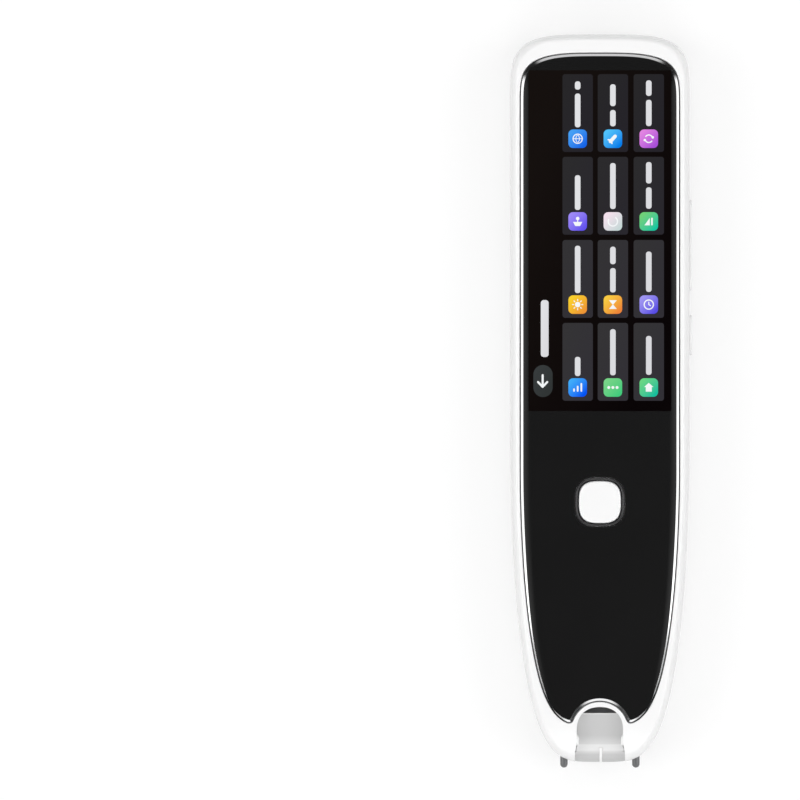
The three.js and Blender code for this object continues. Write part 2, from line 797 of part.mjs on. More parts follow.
function springSpigot(side) {
  const profile = [
    [0, STOP.y - SPRING.spigotLength],
    [SPRING.spigotRadius, STOP.y - SPRING.spigotLength],
    [SPRING.spigotRadius, STOP.y + STOP.thickness / 2],
    [0, STOP.y + STOP.thickness / 2],
  ];
  return rodAlongY(profile, SPRING.stepsPerTurn).translate(side * PIN.x, 0, SPLIT_Z);
}

function post(side, y, topZ) {
  return block(
    [side * POST.x - POST.thickness / 2, y - POST.thickness / 2, BODY.wall / 2],
    [side * POST.x + POST.thickness / 2, y + POST.thickness / 2, topZ],
  );
}

function speakerFrame() {
  const outer = roundedRectangle(
    SPEAKER_WIDTH + 2 * (CRADLE.gap + CRADLE.thickness),
    SPEAKER.length + 2 * (CRADLE.gap + CRADLE.thickness),
    SPEAKER.corner, 0, SPEAKER.y,
  );
  const inner = roundedRectangle(
    SPEAKER_WIDTH + 2 * CRADLE.gap, SPEAKER.length + 2 * CRADLE.gap, SPEAKER.corner, 0, SPEAKER.y,
  );
  return [prism(outer, BODY.wall / 2, BODY.wall + CRADLE.height, [inner])];
}

function grilleHoles() {
  const holes = [];
  for (let row = 0; row < GRILLE.rows; row += 1) {
    for (let column = 0; column < GRILLE.columns; column += 1) {
      const x = (column - (GRILLE.columns - 1) / 2) * GRILLE.pitch;
      const y = SPEAKER.y + (row - (GRILLE.rows - 1) / 2) * GRILLE.pitch;
      holes.push(prism(circle(GRILLE.radius, GRILLE.sides, x, y), -CUT_OVERRUN, BODY.wall + SEAT));
    }
  }
  return holes;
}

function frontHousing() {
  const below = block(
    [-2 * BODY.halfWidth, 2 * BODY.tipY, -BODY.thickness],
    [2 * BODY.halfWidth, 2 * BODY.topY, SPLIT_Z],
  );
  let shell = cut(outerBody(), below, innerBody());
  const guides = [-1, 1].map((side) => pinGuide(side * PIN.x));
  const bosses = BOARD_SCREWS.map(([x, y]) => prism(
    circle(BOSS.radius, PIN.sides, x, y), BOARD_TOP_Z + BOSS.gap, CEILING_Z + LEDGE_THICKNESS / 2,
  ));
  const lugs = BOARD_SCREWS.map(([x, y]) => bossLug(x, y));
  const extras = [...guides, ...bosses, ...lugs]
    .reduce((whole, piece) => whole.add(solid(piece)), solid(guides[0]));
  const displayBay = prism(
    displayOutline(DISPLAY.gap), TRAY_UNDER_Z - DISPLAY.gap, BODY.thickness + CUT_OVERRUN,
  );
  shell = shell.add(cut(extras.intersect(outerBody()), below));
  const pocket = prism(counterClockwise(glassOutline(0)), LEDGE_Z, BODY.thickness + CUT_OVERRUN);
  const tongueSlot = band(
    BODY.wall - TONGUE.thickness - TONGUE.gap, BODY.wall + TONGUE.gap,
    SPLIT_Z - CUT_OVERRUN, SPLIT_Z + TONGUE.height + TONGUE.gap,
  );
  const homeHole = prism(
    squircle(HOME.halfWidth + HOME.gap / 2, HOME.power, HOME.y), CEILING_Z - CUT_OVERRUN, BODY.thickness,
  );
  shell = cut(shell, pocket, tongueSlot, displayBay, homeHole, windowCutter(SPLIT_Z - CUT_OVERRUN));
  for (const [x, y] of BOARD_SCREWS) {
    const depth = SCREW.shaftLength - BOARD.thickness + CUT_OVERRUN / 2;
    const lowZ = BOARD_TOP_Z - CUT_OVERRUN;
    shell = cut(shell, prism(circle(BOSS.hole, GRILLE.sides, x, y), lowZ, BOARD_TOP_Z + depth));
  }
  for (const { y, length } of [VOLUME_KEY, POWER_KEY]) {
    const inner = INNER_HALF_WIDTH - CUT_OVERRUN;
    shell = cut(shell, keyPrism(y, length, KEYS.gap, inner, BODY.halfWidth + CUT_OVERRUN));
  }
  for (const side of [-1, 1]) shell = cut(shell, pinBore(side * PIN.x));
  return geometryOf(cut(shell, usbCutter(), microphoneCutter()));
}

// Web that ties a screw boss to the side wall
function bossLug(x, y) {
  const wallX = Math.sign(x) * (INNER_HALF_WIDTH + BODY.wall / 2);
  return block(
    [Math.min(x, wallX), y - BOSS.radius, BOARD_TOP_Z + BOSS.gap],
    [Math.max(x, wallX), y + BOSS.radius, CEILING_Z + LEDGE_THICKNESS / 2],
  );
}

// Glass, display and home button

// Glass: a steep arris, a polished bevel inside it and a faint crown
function coverGlass() {
  const bevelLowZ = GLASS_TOP_Z - GLASS.crownDrop - GLASS.bevelDrop;
  const bevelStart = GLASS.gap + GLASS.arrisIn;
  const crownStart = bevelStart + GLASS.bevelIn;
  const levels = [
    [GLASS.gap, GLASS_UNDER_Z],
    [GLASS.gap, bevelLowZ - GLASS.arrisIn],
    [bevelStart, bevelLowZ],
    [crownStart, GLASS_TOP_Z - GLASS.crownDrop],
    [crownStart + GLASS.crownIn, GLASS_TOP_Z],
  ].map(([inset, z]) => ({ points: counterClockwise(glassOutline(-inset)), z }));
  const hole = prism(
    squircle(HOME.halfWidth + HOME.gap + HOME.ringWidth + HOME.ringGap, HOME.power, HOME.y),
    GLASS_UNDER_Z - CUT_OVERRUN, GLASS_TOP_Z + CUT_OVERRUN,
  );
  return geometryOf(cut(solid(outlineStack(levels)), hole));
}

function glassTape() {
  const outer = prism(counterClockwise(glassOutline(-GLASS.gap - TAPE.edgeIn)), LEDGE_Z + SEAT, TAPE_TOP_Z);
  const bay = prism(displayOutline(DISPLAY.gap + TAPE.innerGap), LEDGE_Z - CUT_OVERRUN, GLASS_TOP_Z);
  const homeHole = prism(
    squircle(HOME.halfWidth + HOME.gap + HOME.ringWidth + 2 * HOME.ringGap, HOME.power, HOME.y),
    LEDGE_Z - CUT_OVERRUN, GLASS_TOP_Z,
  );
  return geometryOf(cut(solid(outer), bay, homeHole));
}

function displayOutline(grow) {
  return roundedRectangle(
    2 * (DISPLAY_HALF_WIDTH + grow), DISPLAY_TOP_Y - DISPLAY.bottomY + 2 * grow,
    DISPLAY.corner, 0, (DISPLAY_TOP_Y + DISPLAY.bottomY) / 2,
  );
}

function displayPanel() {
  return prism(displayOutline(0), DISPLAY_UNDER_Z, DISPLAY_TOP_Z);
}

function backlightTray() {
  const tray = solid(prism(displayOutline(0), TRAY_UNDER_Z, TRAY_TOP_Z));
  const recess = prism(
    displayOutline(-TRAY.flangeIn), TRAY_UNDER_Z - CUT_OVERRUN, TRAY_UNDER_Z + TRAY.recess,
  );
  return geometryOf(cut(tray, recess));
}

// Thin ribbon that follows a route drawn in Y and Z
function ribbon(route, thickness, width, x) {
  const upper = route.map(([y, z]) => new THREE.Vector2(y, z + thickness / 2));
  const lower = route.map(([y, z]) => new THREE.Vector2(y, z - thickness / 2)).reverse();
  return crossPrism(counterClockwise([...upper, ...lower]), x - width / 2, x + width / 2);
}

const DISPLAY_PLUG_TOP_Z = BOARD_TOP_Z + SEAT + DISPLAY_PLUG.height;

function displayFlexRoute() {
  const highZ = TRAY_UNDER_Z - SEAT - DISPLAY_FLEX.thickness / 2;
  const lowZ = DISPLAY_PLUG_TOP_Z + SEAT + DISPLAY_FLEX.thickness / 2;
  const route = [[DISPLAY_FLEX.startY, highZ]];
  for (let step = 0; step <= EDGE_STEPS; step += 1) {
    const share = (1 - Math.cos(Math.PI * step / EDGE_STEPS)) / 2;
    const y = DISPLAY_FLEX.dropY - DISPLAY_FLEX.bend * step / EDGE_STEPS;
    route.push([y, highZ + (lowZ - highZ) * share]);
  }
  route.push([DISPLAY_FLEX.dropY - DISPLAY_FLEX.bend - DISPLAY_FLEX.run, lowZ]);
  return route;
}

function displayFlex() {
  return ribbon(displayFlexRoute(), DISPLAY_FLEX.thickness, DISPLAY_FLEX.width, 0);
}

const HOME_FLANGE_TOP_Z = CEILING_Z - HOME.flangeGap;
const HOME_SWITCH_TOP_Z = BOARD_TOP_Z + SEAT + HOME_SWITCH.height;
const HOME_PLUNGER_TOP_Z = HOME_SWITCH_TOP_Z + HOME_SWITCH.plungerHeight;

// Home button: a crowned cap with a flange under the ledge and a stem that meets the switch
function homeButton() {
  const capTop = GLASS_TOP_Z + HOME.crown;
  const levels = [
    { grow: 0, z: HOME_FLANGE_TOP_Z - HOME.flangeHeight / 2 },
    { grow: 0, z: GLASS_TOP_Z - HOME.edgeIn / 2 },
    { grow: -HOME.edgeIn / 4, z: GLASS_TOP_Z - HOME.edgeIn / 6 },
    { grow: -HOME.edgeIn, z: capTop - HOME.crown / 3 },
    { grow: -HOME.halfWidth / 2, z: capTop },
  ].map(({ grow, z }) => ({ points: squircle(HOME.halfWidth + grow, HOME.power, HOME.y), z }));
  const flange = prism(
    squircle(HOME.halfWidth + HOME.flangeOut, HOME.power, HOME.y),
    HOME_FLANGE_TOP_Z - HOME.flangeHeight, HOME_FLANGE_TOP_Z,
  );
  const stemLow = HOME_PLUNGER_TOP_Z + HOME.travel + HOME.plungerGap;
  const stem = prism(circle(HOME.stemRadius, PIN.sides, 0, HOME.y), stemLow, HOME_FLANGE_TOP_Z);
  return geometryOf(join(solid(outlineStack(levels)), flange, stem));
}

// Trim ring round the home button, with a foot that closes most of the gap below
function homeButtonRing() {
  const outer = squircle(HOME.halfWidth + HOME.gap + HOME.ringWidth, HOME.power, HOME.y);
  const inner = squircle(HOME.halfWidth + HOME.gap, HOME.power, HOME.y);
  const footInner = squircle(HOME.halfWidth + HOME.gap / 2, HOME.power, HOME.y);
  const low = LEDGE_Z + SEAT;
  const ring = prism(outer, low, GLASS_TOP_Z + SEAT / 2, [inner]);
  return geometryOf(join(solid(ring), prism(outer, low, low + HOME.ringFootHeight, [footInner])));
}

// Side keys

const KEY_FLANGE_OUT_X = INNER_HALF_WIDTH - KEYS.flangeGap;
const KEY_FLANGE_IN_X = KEY_FLANGE_OUT_X - KEYS.flangeThickness;
const KEY_NUB_X = KEY_FLANGE_IN_X - KEYS.nubLength;
const SWITCH_PLUNGER_X = KEY_NUB_X - KEYS.travel - KEYS.plungerGap;
const SWITCH_FACE_X = SWITCH_PLUNGER_X - SIDE_SWITCH.plunger;
const SWITCH_BACK_X = SWITCH_FACE_X - SIDE_SWITCH.depth;
const SIDE_BOARD_FACE_X = SWITCH_BACK_X - SEAT;

// Side key: a rounded bar through the wall, a flange behind it and a nub for each switch
function sideKey({ y, length }, nubOffsets) {
  const outerX = BODY.halfWidth + KEYS.proud;
  const chamferX = outerX - KEYS.edgeIn / 2;
  const outline = (grow) => stadium(length / 2 + grow, KEYS.height / 2 + grow, 0);
  const levels = [
    { points: outline(0), z: KEY_FLANGE_IN_X + KEYS.flangeThickness / 2 },
    { points: outline(0), z: chamferX - KEYS.edgeIn / 2 },
    { points: outline(-KEYS.edgeIn / 3), z: chamferX },
    { points: outline(-KEYS.edgeIn), z: outerX },
  ];
  const bar = outlineStack(levels);
  bar.rotateX(Math.PI / 2);
  bar.rotateZ(Math.PI / 2);
  bar.translate(0, y, KEYS.z);
  const flange = keyPrism(y, length, KEYS.flangeOut, KEY_FLANGE_IN_X, KEY_FLANGE_OUT_X);
  const flangeTrim = block(
    [KEY_FLANGE_IN_X - CUT_OVERRUN, y - length, KEYS.z + KEYS.height / 2 + KEYS.gap],
    [KEY_FLANGE_OUT_X + CUT_OVERRUN, y + length, BODY.thickness],
  );
  const nubs = nubOffsets.map((offset) => block(
    [KEY_NUB_X, y + offset - KEYS.nubHalf, KEYS.z - KEYS.nubHalf],
    [KEY_FLANGE_IN_X + KEYS.flangeThickness / 2, y + offset + KEYS.nubHalf, KEYS.z + KEYS.nubHalf],
  ));
  const trimmed = cut(solid(flange), flangeTrim);
  return geometryOf(join(trimmed.add(solid(bar)), ...nubs));
}

function sideSwitch(y) {
  const body = block(
    [SWITCH_BACK_X, y - SIDE_SWITCH.length / 2, KEYS.z - SIDE_SWITCH.height / 2],
    [SWITCH_FACE_X, y + SIDE_SWITCH.length / 2, KEYS.z + SIDE_SWITCH.height / 2],
  );
  const plunger = block(
    [SWITCH_FACE_X - SIDE_SWITCH.depth / 2, y - SIDE_SWITCH.plungerHalf, KEYS.z - SIDE_SWITCH.plungerHalf],
    [SWITCH_PLUNGER_X, y + SIDE_SWITCH.plungerHalf, KEYS.z + SIDE_SWITCH.plungerHalf],
  );
  return geometryOf(join(solid(body), plunger));
}

function sideKeyBoard() {
  const low = POWER_KEY.y - SIDE_BOARD.endOut;
  const high = VOLUME_KEY.y + ROCKER_PRESS_OFFSET + SIDE_BOARD.endOut;
  const lowZ = BOARD_TOP_Z + SEAT;
  const outline = roundedRectangle(
    high - low, SIDE_BOARD.height, SIDE_BOARD.thickness, (low + high) / 2, lowZ + SIDE_BOARD.height / 2,
  );
  return crossPrism(outline, SIDE_BOARD_FACE_X - SIDE_BOARD.thickness, SIDE_BOARD_FACE_X);
}

// Main board

function mainBoard() {
  const bayLow = POWER_KEY.y - POWER_KEY.length / 2 - BOARD.keyBayOut;
  const bayHigh = VOLUME_KEY.y + VOLUME_KEY.length / 2 + BOARD.keyBayOut;
  const bayX = BOARD_HALF_WIDTH - BOARD.keyBayIn;
  const c = BOARD.corner;
  const outline = [
    [BOARD_FRONT_HALF_WIDTH - c, BOARD.bottomY],
    [BOARD_FRONT_HALF_WIDTH, BOARD.bottomY + c],
    [BOARD_HALF_WIDTH, BOARD.taperY],
    [BOARD_HALF_WIDTH, bayLow - c],
    [bayX, bayLow],
    [bayX, bayHigh],
    [BOARD_HALF_WIDTH, bayHigh + c],
    [BOARD_HALF_WIDTH, BOARD_TOP_Y - c],
    [BOARD_HALF_WIDTH - c, BOARD_TOP_Y],
    [-BOARD_HALF_WIDTH + c, BOARD_TOP_Y],
    [-BOARD_HALF_WIDTH, BOARD_TOP_Y - c],
    [-BOARD_HALF_WIDTH, BOARD.taperY],
    [-BOARD_FRONT_HALF_WIDTH, BOARD.bottomY + c],
    [-BOARD_FRONT_HALF_WIDTH + c, BOARD.bottomY],
  ].map(([x, y]) => new THREE.Vector2(x, y));
  const holes = BOARD_SCREWS.map(([x, y]) => (
    circle(SCREW.shaftRadius + SCREW_HOLE_CLEARANCE, GRILLE.sides, x, y)
  ));
  return prism(outline, BOARD.underZ, BOARD_TOP_Z, holes);
}

function boardScrew() {
  const profile = [
    [0, -SCREW.headHeight],
    [SCREW.headRadius, -SCREW.headHeight],
    [SCREW.headRadius, 0],
    [SCREW.shaftRadius, 0],
    [SCREW.shaftRadius, SCREW.shaftLength],
    [0, SCREW.shaftLength],
  ];
  const turned = rodAlongY(profile, PIN.sides).rotateX(Math.PI / 2);
  const { headRadius, slotWidth } = SCREW;
  const slots = [[headRadius, slotWidth], [slotWidth, headRadius]].map(([a, b]) => block(
    [-a / 2, -b / 2, -SCREW.headHeight - CUT_OVERRUN],
    [a / 2, b / 2, -SCREW.headHeight + SCREW.slotDepth],
  ));
  return geometryOf(cut(solid(turned), ...slots));
}

function processorShield() {
  const can = solid(chip(SHIELD));
  const lip = prism(
    roundedRectangle(SHIELD.width - 2 * SHIELD.lidLip, SHIELD.length - 2 * SHIELD.lidLip, SHIELD.corner),
    -CUT_OVERRUN, SHIELD.height - SHIELD.lidLip,
  );
  return geometryOf(cut(can, lip));
}

function usbSocket() {
  const low = USB_MOUTH_Y - USB.length;
  const body = solid(alongY(stadium(USB.halfWidth, USB.halfHeight, USB_Z), low, USB_MOUTH_Y));
  const mouth = stadium(USB.halfWidth - USB.shell, USB.halfHeight - USB.shell, USB_Z);
  const hollow = alongY(mouth, USB_MOUTH_Y - USB.depth, USB_MOUTH_Y + CUT_OVERRUN);
  const tongue = block(
    [-USB.tongueHalfWidth, USB_MOUTH_Y - USB.depth - USB.shell, USB_Z - USB.tongueHeight / 2],
    [USB.tongueHalfWidth, USB_MOUTH_Y - USB.tongueShort, USB_Z + USB.tongueHeight / 2],
  );
  return geometryOf(join(cut(body, hollow), tongue));
}

// Battery, speaker and antenna

const BATTERY_LOW_Z = BODY.wall + 2 * SEAT + BATTERY.tape;
const BATTERY_END_Y = BATTERY_Y + BATTERY.length / 2;

function batteryTape() {
  return prism(
    roundedRectangle(
      BATTERY_WIDTH - 2 * BATTERY.corner, BATTERY.length - 2 * BATTERY.corner, BATTERY.corner,
    ),
    0, BATTERY.tape,
  );
}

const TAB_LOW_Z = BATTERY_LOW_Z + BATTERY_TAB.lift;
const TAB_Y = BATTERY_END_Y + SEAT + BATTERY_TAB.length / 2;
const PLUG_Y = TAB_Y + BATTERY_TAB.length / 2 + BATTERY_PLUG.ahead;
const PLUG_LOW_Z = BOARD.underZ - SEAT - BATTERY_PLUG.height;

// One battery lead, from the tab's far edge up to the plug
function batteryLead(side) {
  const x = side * LEAD.offset;
  const startY = TAB_Y + BATTERY_TAB.length / 2 + SEAT;
  const endY = PLUG_Y - BATTERY_PLUG.length / 2 - SEAT;
  const startZ = TAB_LOW_Z + BATTERY_TAB.thickness / 2;
  const endZ = PLUG_LOW_Z + BATTERY_PLUG.height / 2;
  const path = new THREE.CubicBezierCurve3(
    new THREE.Vector3(x, startY, startZ),
    new THREE.Vector3(x, (startY + endY) / 2, startZ),
    new THREE.Vector3(BATTERY_PLUG.x + x, (startY + endY) / 2, endZ),
    new THREE.Vector3(BATTERY_PLUG.x + x, endY, endZ),
  );
  const section = new THREE.Shape(circle(LEAD.radius, LEAD.sides));
  return new THREE.ExtrudeGeometry(section, { steps: LEAD.steps, extrudePath: path });
}

const SPEAKER_LOW_Z = BODY.wall + 2 * SEAT + SPEAKER_MESH.thickness;

function speaker() {
  const box = solid(chip({ ...SPEAKER, width: SPEAKER_WIDTH }));
  const cone = roundedRectangle(
    SPEAKER_WIDTH - 2 * SPEAKER.coneIn, SPEAKER.length - 2 * SPEAKER.coneIn, SPEAKER.corner,
  );
  const dome = roundedRectangle(
    SPEAKER_WIDTH - 4 * SPEAKER.coneIn, SPEAKER.length - 4 * SPEAKER.coneIn, SPEAKER.corner,
  );
  const recess = prism(cone, -CUT_OVERRUN, SPEAKER.coneDepth, [dome]);
  return geometryOf(cut(box, recess));
}

function speakerMesh() {
  const outline = roundedRectangle(
    SPEAKER_WIDTH - 2 * SPEAKER_MESH.in, SPEAKER.length - 2 * SPEAKER_MESH.in, SPEAKER.corner,
  );
  return prism(outline, 0, SPEAKER_MESH.thickness);
}

// Flex antenna: a strip with a foot, lying on the speaker box
function antenna() {
  const half = ANTENNA.width / 2;
  const outline = [
    [-half, 0],
    [-half + ANTENNA.footWidth, 0],
    [-half + ANTENNA.footWidth, ANTENNA.reach - ANTENNA.length],
    [half, ANTENNA.reach - ANTENNA.length],
    [half, ANTENNA.reach],
    [-half, ANTENNA.reach],
  ].map(([x, y]) => new THREE.Vector2(x, y));
  return prism(outline, 0, ANTENNA.thickness);
}

// Scan window: a plate that slopes from the arch to a ridge, then a lip that turns down to the paper

// Outer surface of the window piece in Y and Z, from the arch down to the foot
function windowSurface() {
  const w = WINDOW;
  const frontY = BODY.tipY + w.frontInset;
  const startZ = BODY.thickness - w.recess;
  return [
    [w.topY, startZ],
    [(w.topY + 2 * w.ridgeY) / 3, (startZ + 3 * w.ridgeZ) / 4],
    [w.ridgeY, w.ridgeZ],
    [w.lipY, w.lipZ],
    [(w.lipY + 2 * frontY) / 3, (w.lipZ + w.chinZ) / 2],
    [frontY, w.chinZ],
    [frontY, w.footZ + w.gap],
  ];
}

function windowProfile() {
  const w = WINDOW;
  const frontY = BODY.tipY + w.frontInset;
  const inner = [
    [frontY + w.thickness, w.footZ + w.gap],
    [frontY + w.thickness, w.chinZ - w.thickness / 2],
    [w.lipY + w.thickness / 2, w.lipZ - w.thickness],
    [w.ridgeY + w.thickness, w.ridgeZ - w.thickness],
    [w.topY, BODY.thickness - w.recess - w.thickness],
  ];
  return [...windowSurface(), ...inner].map(([y, z]) => new THREE.Vector2(y, z));
}

function windowPlan() {
  const narrow = ARCH.halfWidth - WINDOW.gap;
  const wide = ARCH.mouthHalfWidth - WINDOW.gap;
  const widenY = ARCH.mouthY - WINDOW.mouthDelay;
  const farY = BODY.tipY - CUT_OVERRUN;
  const outline = [
    ...archOutline(-WINDOW.gap),
    [-narrow, widenY],
    [-wide, widenY - (wide - narrow)],
    [-wide, farY],
    [wide, farY],
    [wide, widenY - (wide - narrow)],
    [narrow, widenY],
  ].map(([x, y]) => new THREE.Vector2(x, y));
  return prism(outline, 0, BODY.thickness);
}

function windowBody() {
  const profile = counterClockwise(windowProfile());
  const extruded = solid(crossPrism(profile, -ARCH.mouthHalfWidth, ARCH.mouthHalfWidth));
  const bodyLevels = roundedLevels(
    BODY.thickness, WINDOW.frontInset,
    BODY.backRoundIn, BODY.backRoundUp, BODY.frontRoundIn, BODY.frontRoundDown,
  );
  return extruded.intersect(solid(windowPlan())).intersect(solid(bodyLoft(bodyLevels, 0, 0)));
}

function aimSlot(grow) {
  const half = AIM.width / 2 + grow;
  return block(
    [AIM.x - half, BODY.tipY - CUT_OVERRUN, AIM.footZ - grow],
    [AIM.x + half, AIM.startY + grow, BODY.thickness],
  );
}

// Everything that lies deeper than the window's surface by a depth, down to the back
function underSurface(depth) {
  const surface = windowSurface().map(([y, z]) => [y + depth, z - depth]);
  const [first] = surface;
  const last = surface[surface.length - 1];
  const points = [...surface, [last[0], -CUT_OVERRUN], [first[0], -CUT_OVERRUN]];
  const outline = points.map(([y, z]) => new THREE.Vector2(y, z));
  return crossPrism(outline, -ARCH.mouthHalfWidth, ARCH.mouthHalfWidth);
}

function scanWindow() {
  const ditch = cut(solid(aimSlot(AIM.gap)), underSurface(AIM.depth));
  return geometryOf(windowBody().subtract(ditch));
}

function aimMark() {
  const strip = windowBody().intersect(solid(aimSlot(0)));
  return geometryOf(cut(strip, underSurface(AIM.depth - AIM.gap)));
}

// Dark hood between the camera and the window, open at both ends
function scanChamber() {
  const hood = (grow, lowY, highY) => {
    const front = CHAMBER.frontHalfWidth - grow;
    const rear = CHAMBER.rearHalfWidth - grow;
    const outline = [[-front, lowY], [front, lowY], [rear, highY], [-rear, highY]];
    const points = outline.map(([x, y]) => new THREE.Vector2(x, y));
    return prism(points, CHAMBER.bottomZ + grow, CHAMBER.topZ - grow);
  };
  const outer = solid(hood(0, CHAMBER.frontY, CHAMBER.rearY));
  const bore = hood(CHAMBER.wall, CHAMBER.frontY - CUT_OVERRUN, CHAMBER.rearY + CUT_OVERRUN);
  const pitch = (CHAMBER.rearY - CHAMBER.frontY) / (CHAMBER.steps + 1);
  const grooves = [];
  for (let step = 1; step <= CHAMBER.steps; step += 1) {
    const y = CHAMBER.frontY + step * pitch;
    grooves.push(block(
      [-CHAMBER.rearHalfWidth, y - pitch / 4, CHAMBER.bottomZ + CHAMBER.wall / 2],
      [CHAMBER.rearHalfWidth, y + pitch / 4, CHAMBER.topZ - CHAMBER.wall / 2],
    ));
  }
  return geometryOf(cut(outer, bore, ...grooves));
}

function cameraModule() {
  const midZ = (CAMERA.bottomZ + CAMERA.topZ) / 2;
  const height = CAMERA.topZ - CAMERA.bottomZ;
  const outline = roundedRectangle(2 * CAMERA.halfWidth, height, CAMERA.corner, 0, midZ);
  return alongY(outline, CAMERA.frontY, CAMERA.rearY);
}

// Lens barrel with a stepped rim and a recessed front glass
function cameraLens() {
  const rear = CAMERA.frontY - SEAT;
  const front = rear - CAMERA.lensLength;
  const profile = [
    [0, front + CAMERA.glassDepth],
    [CAMERA.glassRadius * 3 / 4, front + CAMERA.glassDepth],
    [CAMERA.glassRadius, front],
    [CAMERA.lensRadius * 9 / 10, front],
    [CAMERA.lensRadius, front + CAMERA.glassDepth],
    [CAMERA.lensRadius, rear],
    [0, rear],
  ];
  const midZ = (CAMERA.bottomZ + CAMERA.topZ) / 2;
  return rodAlongY(profile, PIN.sides).translate(0, 0, midZ);
}

const CAMERA_PLUG_TOP_Z = BOARD_TOP_Z + SEAT + CAMERA_PLUG.height;

function cameraFlex() {
  const highZ = CAMERA.topZ + SEAT + CAMERA_FLEX.thickness / 2;
  const lowZ = CAMERA_PLUG_TOP_Z + SEAT + CAMERA_FLEX.thickness / 2;
  const startY = CAMERA.rearY - CAMERA_FLEX.startIn;
  const bendY = startY + CAMERA_FLEX.run;
  const route = [
    [startY, highZ],
    [bendY, highZ],
    [bendY + CAMERA_FLEX.drop, lowZ],
    [bendY + CAMERA_FLEX.drop + CAMERA_FLEX.plugRun, lowZ],
  ];
  return ribbon(route, CAMERA_FLEX.thickness, CAMERA_FLEX.width, 0);
}

function led() {
  const body = prism(roundedRectangle(LED.width, LED.length, LED.corner), 0, LED.height - LED.lens);
  const lens = prism(
    roundedRectangle(LED.width - 2 * LED.corner, LED.length - 2 * LED.corner, LED.corner),
    (LED.height - LED.lens) / 2, LED.height,
  );
  return geometryOf(join(solid(body), lens));
}

// Scan trigger

function triggerPin() {
  const tip = PIN.endY;
  const collarY = PIN.guideEndY + SEAT;
  const rear = YOKE.frontY + PIN.seat;
  const profile = [[0, tip]];
  for (let step = 1; step <= EDGE_STEPS; step += 1) {
    const angle = Math.PI / 2 * step / EDGE_STEPS;
    profile.push([PIN.radius * Math.sin(angle), tip + PIN.radius * (1 - Math.cos(angle))]);
  }
  profile.push(
    [PIN.radius, collarY],
    [PIN.collarRadius, collarY],
    [PIN.collarRadius, collarY + PIN.collarLength],
    [PIN.radius, collarY + PIN.collarLength],
    [PIN.radius, rear],
    [0, rear],
  );
  return rodAlongY(profile, PIN.sides);
}

function triggerYoke() {
  const armX = PIN.x + YOKE.armHalfWidth;
  const innerX = PIN.x - YOKE.armHalfWidth;
  const outline = [
    [-armX, YOKE.bottomZ],
    [armX, YOKE.bottomZ],
    [armX, YOKE.armTopZ - YOKE.corner],
    [armX - YOKE.corner, YOKE.armTopZ],
    [innerX + YOKE.corner, YOKE.armTopZ],
    [innerX, YOKE.armTopZ - YOKE.corner],
    [innerX, YOKE.barTopZ + YOKE.corner],
    [innerX - YOKE.corner, YOKE.barTopZ],
    [-innerX + YOKE.corner, YOKE.barTopZ],
    [-innerX, YOKE.barTopZ + YOKE.corner],
    [-innerX, YOKE.armTopZ - YOKE.corner],
    [-innerX - YOKE.corner, YOKE.armTopZ],
    [-armX + YOKE.corner, YOKE.armTopZ],
    [-armX, YOKE.armTopZ - YOKE.corner],
  ].map(([x, z]) => new THREE.Vector2(x, z));
  const frame = solid(alongY(outline, YOKE.frontY, YOKE.rearY));
  const rodEndY = TRIGGER_SWITCH.frontY - TRIGGER_PLUNGER.length - TRIGGER_TRAVEL - TRIGGER_PLUNGER.gap;
  const rod = block(
    [-YOKE.rodHalfWidth, YOKE.frontY + YOKE.corner, YOKE.bottomZ],
    [YOKE.rodHalfWidth, rodEndY, YOKE.barTopZ],
  );
  const spigots = [];
  const bores = [];
  for (const side of [-1, 1]) {
    const spigot = [
      [0, YOKE.rearY - YOKE.corner],
      [SPRING.spigotRadius, YOKE.rearY - YOKE.corner],
      [SPRING.spigotRadius, YOKE.rearY + SPRING.spigotLength],
      [0, YOKE.rearY + SPRING.spigotLength],
    ];
    const bore = [
      [0, YOKE.frontY - CUT_OVERRUN],
      [PIN.radius + YOKE.boreGap, YOKE.frontY - CUT_OVERRUN],
      [PIN.radius + YOKE.boreGap, YOKE.frontY + PIN.seat + YOKE.boreGap],
      [0, YOKE.frontY + PIN.seat + YOKE.boreGap],
    ];
    spigots.push(rodAlongY(spigot, SPRING.stepsPerTurn).translate(side * PIN.x, 0, SPLIT_Z));
    bores.push(rodAlongY(bore, PIN.sides).translate(side * PIN.x, 0, SPLIT_Z));
  }
  return geometryOf(cut(join(frame, rod, ...spigots), ...bores));
}

// Coil spring wound by a loop round the Y axis, one unbroken wire between the yoke and its stop
function triggerSpring() {
  const length = STOP.y - YOKE.rearY - 2 * (SEAT + SPRING.wire);
  const rings = SPRING.turns * SPRING.stepsPerTurn;
  const positions = [];
  const index = [];
  for (let ring = 0; ring <= rings; ring += 1) {
    const angle = 2 * Math.PI * ring / SPRING.stepsPerTurn;
    const y = length * (ring / rings - 1 / 2);
    for (let side = 0; side < SPRING.wireSides; side += 1) {
      const round = 2 * Math.PI * side / SPRING.wireSides;
      const radius = SPRING.meanRadius + SPRING.wire * Math.cos(round);
      positions.push(radius * Math.cos(angle), y + SPRING.wire * Math.sin(round), radius * Math.sin(angle));
    }
  }
  for (let ring = 0; ring < rings; ring += 1) {
    for (let side = 0; side < SPRING.wireSides; side += 1) {
      const a = ring * SPRING.wireSides + side;
      const b = ring * SPRING.wireSides + (side + 1) % SPRING.wireSides;
      const [c, d] = [a + SPRING.wireSides, b + SPRING.wireSides];
      index.push(a, b, c, b, d, c);
    }
  }
  const last = rings * SPRING.wireSides;
  for (let side = 1; side + 1 < SPRING.wireSides; side += 1) {
    index.push(0, side + 1, side);
    index.push(last, last + side, last + side + 1);
  }
  const geometry = new THREE.BufferGeometry();
  geometry.setAttribute('position', new THREE.Float32BufferAttribute(positions, 3));
  geometry.setIndex(index);
  return geometry;
}

